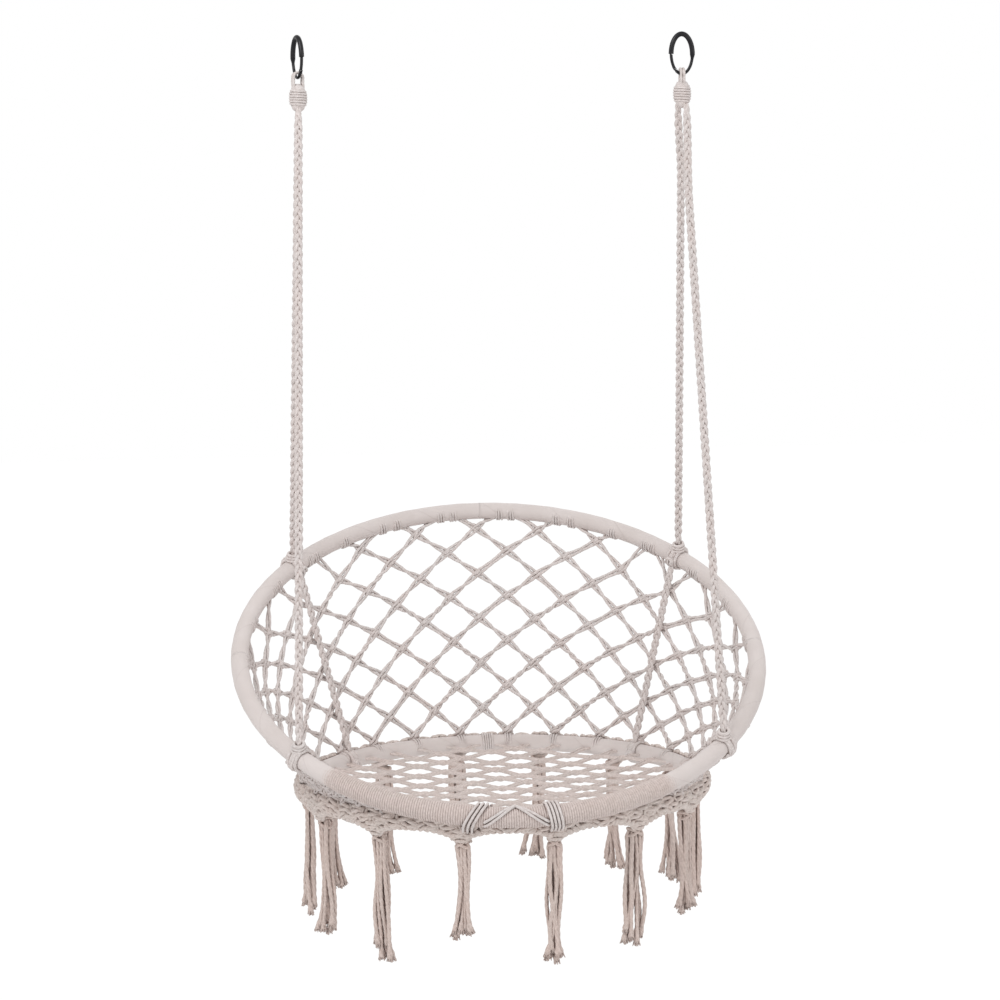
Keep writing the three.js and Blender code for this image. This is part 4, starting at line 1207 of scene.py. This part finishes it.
def add_brush(batch, end, fall, fan_ways, tint):
    """The frayed end of one strand."""
    share = np.linspace(0, 1, BRUSH_STEPS)[None, :, None]

    def chance(low, high):
        return random.uniform(low, high, (BRUSH_HAIRS, 1, 1))

    fan = around(chance(0, FULL_TURN), *fan_ways)
    reach = BRUSH_SPREAD * chance(0, 1)
    root = BRUSH_ROOT_SPREAD * np.sqrt(chance(0, 1))
    lengths = BRUSH_LENGTH * chance(*BRUSH_LENGTH_RANGE)
    hairs = end + fan * (root + reach * share ** BRUSH_FAN_POWER) + fall * lengths * share
    radii = np.linspace(*BRUSH_HAIR_RADII, BRUSH_STEPS)
    batch.add(hairs, radii, BRUSH_SIDES, np.full(BRUSH_HAIRS, tint), round_ends=False)


def swung(share, wave, phase):
    """A wave along a strand that grows from its top."""
    height, half_waves, power = wave
    return height * np.sin(math.pi * (share * half_waves + phase)) * share ** power


def tassel(index):
    """Thick twisted cords that fall in two layers from the fringe's tip, each frayed at its end."""
    batch = Batch()
    top, along, outward = tassel_frame(index)
    length = TASSEL_LENGTH * TASSEL_LENGTH_SHARES[index]
    width = TASSEL_HALF_WIDTH * TASSEL_WIDTH_SHARES[index]
    share = np.linspace(0, 1, int(length / TASSEL_STEP))[:, None]
    open_share = smooth_share(share / TASSEL_OPEN_SHARE)
    opening = part_way(TASSEL_HEAD_WIDTH_SHARE, 1, open_share)
    opening = opening * (1 - TASSEL_PINCH_SHARE * np.sin(math.pi * share) + TASSEL_SPLAY_SHARE * share ** 4)
    own, clump, deep_wave = TASSEL_WAVES
    lean = TASSEL_LEAN * random.uniform(-1, 1)
    clumps = random.uniform(-1, 1, (math.ceil(TASSEL_STRANDS / TASSEL_CLUMP), 2))
    for strand in range(TASSEL_STRANDS):
        across = 2 * (strand + 0.5) / TASSEL_STRANDS - 1
        layer = 2 * (strand % 2) - 1
        strand_length = (length - BRUSH_LENGTH) * random.uniform(*TASSEL_LENGTH_RANGE)
        sway = random.uniform(-1, 1, 4)
        size, phase = clumps[strand // TASSEL_CLUMP]
        sideways = across * width * opening + lean * share ** 2
        sideways = sideways + sway[0] * swung(share, own, sway[1])
        sideways = sideways + size * swung(share, clump, phase)
        deep = layer * TASSEL_HALF_DEPTH * opening + sway[2] * swung(share, deep_wave, sway[3])
        middle = top + sideways * along + deep * outward - share * strand_length * UP
        tint = random.random()
        flare_share = smooth_share(1 - (1 - share[:, 0]) * strand_length / TASSEL_FLARE_LENGTH)
        radius = TASSEL_STRAND_RADIUS * random.uniform(*TASSEL_RADIUS_RANGE)
        radius = radius * (1 + TASSEL_FLARE_SHARE * flare_share)
        batch.add(middle, radius, tints=[tint], lay=TASSEL_LAY)
        fall = unit(middle[-1] - middle[-3])
        add_brush(batch, middle[-1] - fall * TASSEL_STRAND_RADIUS, fall, (along, outward), tint)
    add_tassel_head(batch, top, along, outward, width)
    return batch


def add_tassel_head(batch, top, along, outward, width):
    """Turns of cord that cross in front and draw the strands together."""
    turn = np.linspace(0, RING_TURN, TASSEL_HEAD_STEPS)[:, None]
    along_grip, out_grip = (share * TASSEL_HEAD_RADIUS for share in TASSEL_HEAD_GRIP_SHARES)
    reach_along = TASSEL_HEAD_WIDTH_SHARE * width + TASSEL_STRAND_RADIUS + along_grip
    reach_out = TASSEL_HALF_DEPTH + TASSEL_STRAND_RADIUS + out_grip
    for place, lean in enumerate(TASSEL_HEAD_LEANS):
        centre = top - UP * TASSEL_HEAD_PITCH * (place + TASSEL_HEAD_DROP_SHARE)
        ring = centre + around(turn, reach_along * around(lean, along, UP), reach_out * outward)
        batch.add(ring, TASSEL_HEAD_RADIUS, lay=TASSEL_LAY)


for index in range(TASSEL_COUNT):
    node = f"tassel_{index + 1:02d}"
    add_piece(f"{node}_cords", tassel(index), tassel_cord, node)

# Fringe: flat knots over the seat hoop's outer face, drawn down to a tip above each tassel
SCALLOP = FULL_TURN / TASSEL_COUNT
FRINGE_CORD_RADIUS = 0.0030
FRINGE_TOP_TURN = math.radians(52)
FRINGE_LEAVE_TURN = math.radians(125)
FRINGE_REACH = WRAP_RADIUS + 0.9 * FRINGE_CORD_RADIUS
FRINGE_ARC = FRINGE_REACH * (FRINGE_LEAVE_TURN - FRINGE_TOP_TURN)
FRINGE_RAKE = math.radians(18)
FRINGE_TURN_IN = 0.012
FRINGE_FACE_DROP = -FRINGE_REACH * math.cos(FRINGE_LEAVE_TURN)
FRINGE_TIP_RUN = FRINGE_ARC + WRAP_RADIUS + FRINGE_TIP_DEPTH - FRINGE_FACE_DROP
FRINGE_VALLEY_RUN = FRINGE_ARC + WRAP_RADIUS + FRINGE_VALLEY_DEPTH - FRINGE_FACE_DROP
FRINGE_RIDGE_WOBBLE = 0.0024
FRINGE_RIDGE_TURN = 0.018
FRINGE_RIDGE_LIFT_SHARE = 0.5
FRINGE_KNOT_HALF_WIDTH = 0.0112
FRINGE_KNOT_HALF_HEIGHT = 0.0047
FRINGE_KNOT_SLANT = 0.0016
FRINGE_KNOT_STEPS = 13
FRINGE_KNOT_SIZE_RANGE = (0.88, 1.1)
FRINGE_KNOT_ANGLE_RANGE = (-0.007, 0.007)
FRINGE_KNOT_RUN_RANGE = (-0.0012, 0.0012)
# A knot's two crossing cords, as shares of its half width and half height: how wide they are,
# how far up or down they lie and how far they slant. Their lift is in shares of a cord's radius.
FRINGE_CROSSING_WIDTH_SHARE = 0.86
FRINGE_CROSSING_LEVEL_SHARE = 0.525
FRINGE_CROSSING_SLANT_SHARE = 0.35
FRINGE_CROSSING_LIFT_SHARES = (0.2, 1.25)
# Its upright cords: place and bulge as shares of its half width, length as a share of its half
# height, and lift as a share of a cord's radius
FRINGE_UPRIGHTS = ((0.3, 0.09, 1.35, -0.1), (0.98, -0.3, 1.1, 0.35))
FRINGE_GATHERED_PLACES = (-0.2, -0.12, -0.04, 0.04, 0.12, 0.2)
FRINGE_GATHER_SHARE = 0.8
FRINGE_GATHER_POWER = 0.8
FRINGE_GATHERED_RUN_SHARES = (0.5, 0.52)
FRINGE_GATHERED_SINK_SHARE = 0.4
FRINGE_GATHERED_STEPS = 10
# Each row of knots: its count in a scallop, the share of the scallop it spans, the share of
# the way down to the tip, and the shift of its knots in knots
FRINGE_ROWS = (
    (5, 1.0, 0.10, 0.0),
    (5, 1.0, 0.31, 0.5),
    (1, 0.30, 0.56, 0.0),
)
# Ridges of two cords: steps, the share of half a scallop at which each starts, the runs down the
# fringe at which it starts and ends, and the power of its curve. The first is the lower edge.
FRINGE_RIDGES = (
    (44, 0.98, FRINGE_VALLEY_RUN, FRINGE_TIP_RUN, 3.0),
    (36, 0.86, 0.30 * FRINGE_TIP_RUN, 0.74 * FRINGE_TIP_RUN, 1.0),
    (36, 0.50, 0.10 * FRINGE_TIP_RUN, 0.52 * FRINGE_TIP_RUN, 1.0),
)


def fringe_surface(angle, run, lift):
    """Points at a run down the fringe: round the hoop's outer face, then down and a little inward."""
    turn = FRINGE_TOP_TURN + np.minimum(run, FRINGE_ARC) / FRINGE_REACH
    below = np.maximum(run - FRINGE_ARC, 0.0)[..., None]
    out = seat_hoop.outward(angle)
    face = seat_hoop.skin(angle, turn, FRINGE_REACH)
    sink = below * (-math.cos(FRINGE_RAKE) * UP - math.sin(FRINGE_RAKE) * out)
    tilt = (turn - math.pi / 2)[..., None] * (1 - smooth_share(below / FRINGE_TURN_IN))
    normal = np.cos(tilt) * out - np.sin(tilt) * UP
    return face + sink + lift[..., None] * normal


def add_fringe_cord(batch, angle, run, lift):
    angle, run, lift = np.broadcast_arrays(angle, run, lift)
    batch.add(fringe_surface(angle, run, lift), FRINGE_CORD_RADIUS, lay=FRINGE_LAY)


def add_square_knot(batch, angle, run, size):
    """Two cords crossed over four upright ones, laid on the fringe's surface."""
    share = np.linspace(-1, 1, FRINGE_KNOT_STEPS)
    width = size * FRINGE_KNOT_HALF_WIDTH / seat_hoop.radius
    half_height = size * FRINGE_KNOT_HALF_HEIGHT
    run = run + random.uniform(-1, 1) * FRINGE_KNOT_SLANT * share
    lift_share, bulge_share = FRINGE_CROSSING_LIFT_SHARES
    lift = FRINGE_CORD_RADIUS * (lift_share + bulge_share * (1 - share ** 2))
    for side in (-1, 1):
        level_share = side * (FRINGE_CROSSING_LEVEL_SHARE - FRINGE_CROSSING_SLANT_SHARE * share)
        across = angle + share * width * FRINGE_CROSSING_WIDTH_SHARE
        add_fringe_cord(batch, across, run + half_height * level_share, lift)
    for side in (-1, 1):
        for place, bulge, length, lift_share in FRINGE_UPRIGHTS:
            beside = angle + side * width * (place + bulge * share ** 2)
            upright_run = run + share * length * half_height
            add_fringe_cord(batch, beside, upright_run, lift_share * FRINGE_CORD_RADIUS)


def add_ridge(batch, angle, run):
    """Two cords laid round each other along a line on the fringe's surface."""
    length = np.hypot(np.gradient(angle) * seat_hoop.radius, np.gradient(run)).cumsum()
    turn = FULL_TURN * length / FRINGE_RIDGE_TURN
    for flip in (0, math.pi):
        down = run + FRINGE_RIDGE_WOBBLE * np.cos(turn + flip)
        lift = FRINGE_CORD_RADIUS * FRINGE_RIDGE_LIFT_SHARE + FRINGE_RIDGE_WOBBLE * np.sin(turn + flip)
        add_fringe_cord(batch, angle, down, lift)


def add_ridges(batch, middle, side):
    """The ridges that run down to a tassel's head, and the edge that joins it to the next."""
    for steps, place_share, start, end, power in FRINGE_RIDGES:
        share = np.linspace(0, 1, steps)
        angle = middle + side * SCALLOP / 2 * place_share * (1 - share)
        add_ridge(batch, angle, part_way(start, end, share ** power))


def add_gathered_cords(batch, middle):
    """Cords drawn in under the knots to a tassel's head."""
    share = np.linspace(0, 1, FRINGE_GATHERED_STEPS)
    start_share, span_share = FRINGE_GATHERED_RUN_SHARES
    for place in FRINGE_GATHERED_PLACES:
        angle = middle + SCALLOP * place * (1 - FRINGE_GATHER_SHARE * share ** FRINGE_GATHER_POWER)
        run = FRINGE_TIP_RUN * (start_share + span_share * share)
        add_fringe_cord(batch, angle, run, -FRINGE_GATHERED_SINK_SHARE * FRINGE_CORD_RADIUS)


def fringe():
    batch = Batch()
    for index in range(TASSEL_COUNT):
        middle = tassel_angle(index)
        for count, reach_share, depth_share, shift in FRINGE_ROWS:
            for place in range(count):
                share = (place + 0.5 + shift) / count - 0.5
                angle = middle + share * SCALLOP * reach_share + random.uniform(*FRINGE_KNOT_ANGLE_RANGE)
                size = random.uniform(*FRINGE_KNOT_SIZE_RANGE)
                run = depth_share * FRINGE_TIP_RUN + random.uniform(*FRINGE_KNOT_RUN_RANGE)
                add_square_knot(batch, angle, run, size)
        for side in (-1, 1):
            add_ridges(batch, middle, side)
        add_gathered_cords(batch, middle)
    return batch


add_piece("fringe_macrame", fringe(), fringe_cord, "fringe_band")

# Cord ties that hold both hoops together at the front, each above a tassel
TIE_RADIUS = 0.002
TIE_SLACK = 0.0009
TIE_LOOP_GAP = 0.0009
TIE_STEPS = 44
WINDING_OUTER_RADIUS = 0.0151
# Shares of a tie's loop at which it leaves the large hoop, meets the seat hoop and leaves it
TIE_LEAVE_SHARE = 0.55
TIE_MEET_SHARE = 0.6
TIE_PART_SHARE = 0.95
APEX_OFFSET = -0.009
APEX_FIRST_TURN = math.radians(-20)
APEX_LAST_TURN = math.radians(78)
APEX_CORD_SHIFTS = (0.0, math.radians(24))
APEX_REACH = 0.0167
APEX_STEPS = 24
APEX_ENDS = {"left_front_tie": -0.050, "right_front_tie": 0.035}
# Node, offset from the middle, loops and lean
FRONT_TIES = (
    ("left_front_tie", -0.062, 3, math.radians(36)),
    ("right_front_tie", 0.046, 4, math.radians(-12)),
)


def tie_reach(hoop, sleeve_radius, x):
    return (sleeve_radius + TIE_SLACK + TIE_RADIUS) / np.sqrt(1 - (x / hoop.radius) ** 2)


def tie_points(x, phase):
    """Places round both hoops at a sideways place, and their rise over the middle line."""
    large = large_hoop.point(np.arcsin(x / LARGE_HOOP_RADIUS))
    seat = seat_hoop.point(np.arcsin(x / SEAT_HOOP_RADIUS))
    large_reach = tie_reach(large_hoop, WINDING_OUTER_RADIUS, x)
    seat_reach = tie_reach(seat_hoop, WRAP_RADIUS, x)
    way = seat - large
    distance = np.linalg.norm(way, axis=-1)
    way = way / distance[:, None]
    upward = np.cross(SIDEWAYS, way)
    tangent = np.arccos((large_reach - seat_reach) / distance)
    on_large = phase < TIE_LEAVE_SHARE
    large_turn = tangent + phase / TIE_LEAVE_SHARE * (FULL_TURN - 2 * tangent)
    seat_turn = (2 * (phase - TIE_MEET_SHARE) / (TIE_PART_SHARE - TIE_MEET_SHARE) - 1) * tangent
    turn = np.where(on_large, large_turn, np.clip(seat_turn, -tangent, tangent))
    reach = np.where(on_large, large_reach, seat_reach)
    centre = np.where(on_large[:, None], large, seat)
    rise = reach * np.sin(turn)
    return centre + (reach * np.cos(turn))[:, None] * way + rise[:, None] * upward, rise


def front_tie(offset, loops, lean):
    batch = Batch()
    pitch = (2 * TIE_RADIUS + TIE_LOOP_GAP) / math.cos(lean)
    step = np.arange(loops * TIE_STEPS + 1) / TIE_STEPS
    phase = step % 1.0
    x = offset + pitch * (step - loops / 2)
    _, rise = tie_points(x, phase)
    points, _ = tie_points(x + rise * math.tan(lean), phase)
    batch.add(points, TIE_RADIUS, lay=NET_LAY)
    return batch


def add_apex_cords(batch, x_end):
    """Cords that run from the middle of the front over the large hoop's top to a tie."""
    share = np.linspace(0, 1, APEX_STEPS)
    angle = np.arcsin(part_way(APEX_OFFSET, x_end, share) / LARGE_HOOP_RADIUS)
    for shift in APEX_CORD_SHIFTS:
        turn = part_way(APEX_FIRST_TURN, APEX_LAST_TURN, share) + shift * np.sqrt(share)
        batch.add(large_hoop.skin(angle, turn, APEX_REACH), TIE_RADIUS, lay=NET_LAY)


for node, offset, loops, lean in FRONT_TIES:
    tie = front_tie(offset, loops, lean)
    add_apex_cords(tie, APEX_ENDS[node])
    add_piece(f"{node}_cord", tie, net_cord, node)

# Steel that stays as the solids are
for node in frame["nodes"].values():
    if not node.hide_render:
        node.data.materials.clear()
        node.data.materials.append(bright_metal)

# Floor, light and background
FLOOR_DROP = 0.35
FLOOR_HALF_SIZE = 12.0
WORLD_STRENGTH = 0.72
SHADOW_SHARE = 0.12
FLOOR_COLOUR = (0.95, 0.95, 0.95, 1.0)
FLOOR_GLOW = 1.06
LAMP_TARGET = (0.0, 0.0, -0.7)
# Name, place, size and power
LAMPS = (
    ("key", (-1.6, -2.2, 1.6), 1.6, 42),
    ("fill", (2.2, -1.8, 0.4), 1.8, 12),
    ("back", (0.8, 2.4, 1.2), 2.0, 16),
)


def seen_directly(tree):
    """1 for rays from the camera, mirrors and glass, which see the plain background."""
    path = tree.add("ShaderNodeLightPath").outputs
    direct = tree.math("MAXIMUM", path["Is Camera Ray"], path["Is Glossy Ray"])
    return tree.math("MAXIMUM", direct, path["Is Transmission Ray"])


def make_world():
    world = bpy.data.worlds.new("studio")
    bpy.context.scene.world = world
    tree = Tree(world, empty=True)
    lighting = tree.add("ShaderNodeBackground", {"Color": WHITE, "Strength": WORLD_STRENGTH}).outputs[0]
    shown = tree.add("ShaderNodeBackground", {"Color": WHITE, "Strength": 1.0}).outputs[0]
    choice = tree.add("ShaderNodeMixShader", {0: seen_directly(tree), 1: lighting, 2: shown})
    tree.add("ShaderNodeOutputWorld", {"Surface": choice.outputs[0]})


def make_floor():
    level = cad_box[0].z - FLOOR_DROP
    near = -FLOOR_HALF_SIZE
    far = FLOOR_HALF_SIZE
    corners = [(near, near, level), (far, near, level), (far, far, level), (near, far, level)]
    mesh = bpy.data.meshes.new("floor")
    mesh.from_pydata(corners, [], [(0, 1, 2, 3)])
    floor = bpy.data.objects.new("floor", mesh)
    bpy.context.scene.collection.objects.link(floor)
    material = bpy.data.materials.new("pale_floor")
    tree = Tree(material, empty=True)
    surface = tree.add("ShaderNodeBsdfDiffuse", {"Color": FLOOR_COLOUR}).outputs[0]
    glow = tree.add("ShaderNodeEmission", {"Color": WHITE, "Strength": FLOOR_GLOW}).outputs[0]
    glow_share = tree.math("MULTIPLY", seen_directly(tree), 1 - SHADOW_SHARE)
    choice = tree.add("ShaderNodeMixShader", {0: glow_share, 1: surface, 2: glow})
    tree.add("ShaderNodeOutputMaterial", {"Surface": choice.outputs[0]})
    mesh.materials.append(material)


def add_lamp(name, place, size, power):
    data = bpy.data.lights.new(name, "AREA")
    data.shape = "SQUARE"
    data.size = size
    data.energy = power
    lamp = bpy.data.objects.new(name, data)
    bpy.context.scene.collection.objects.link(lamp)
    lamp.location = place
    lamp.rotation_mode = "QUATERNION"
    lamp.rotation_quaternion = (Vector(LAMP_TARGET) - Vector(place)).to_track_quat("-Z", "Y")


make_world()
make_floor()
for lamp in LAMPS:
    add_lamp(*lamp)
bpy.context.scene.view_settings.view_transform = "Standard"
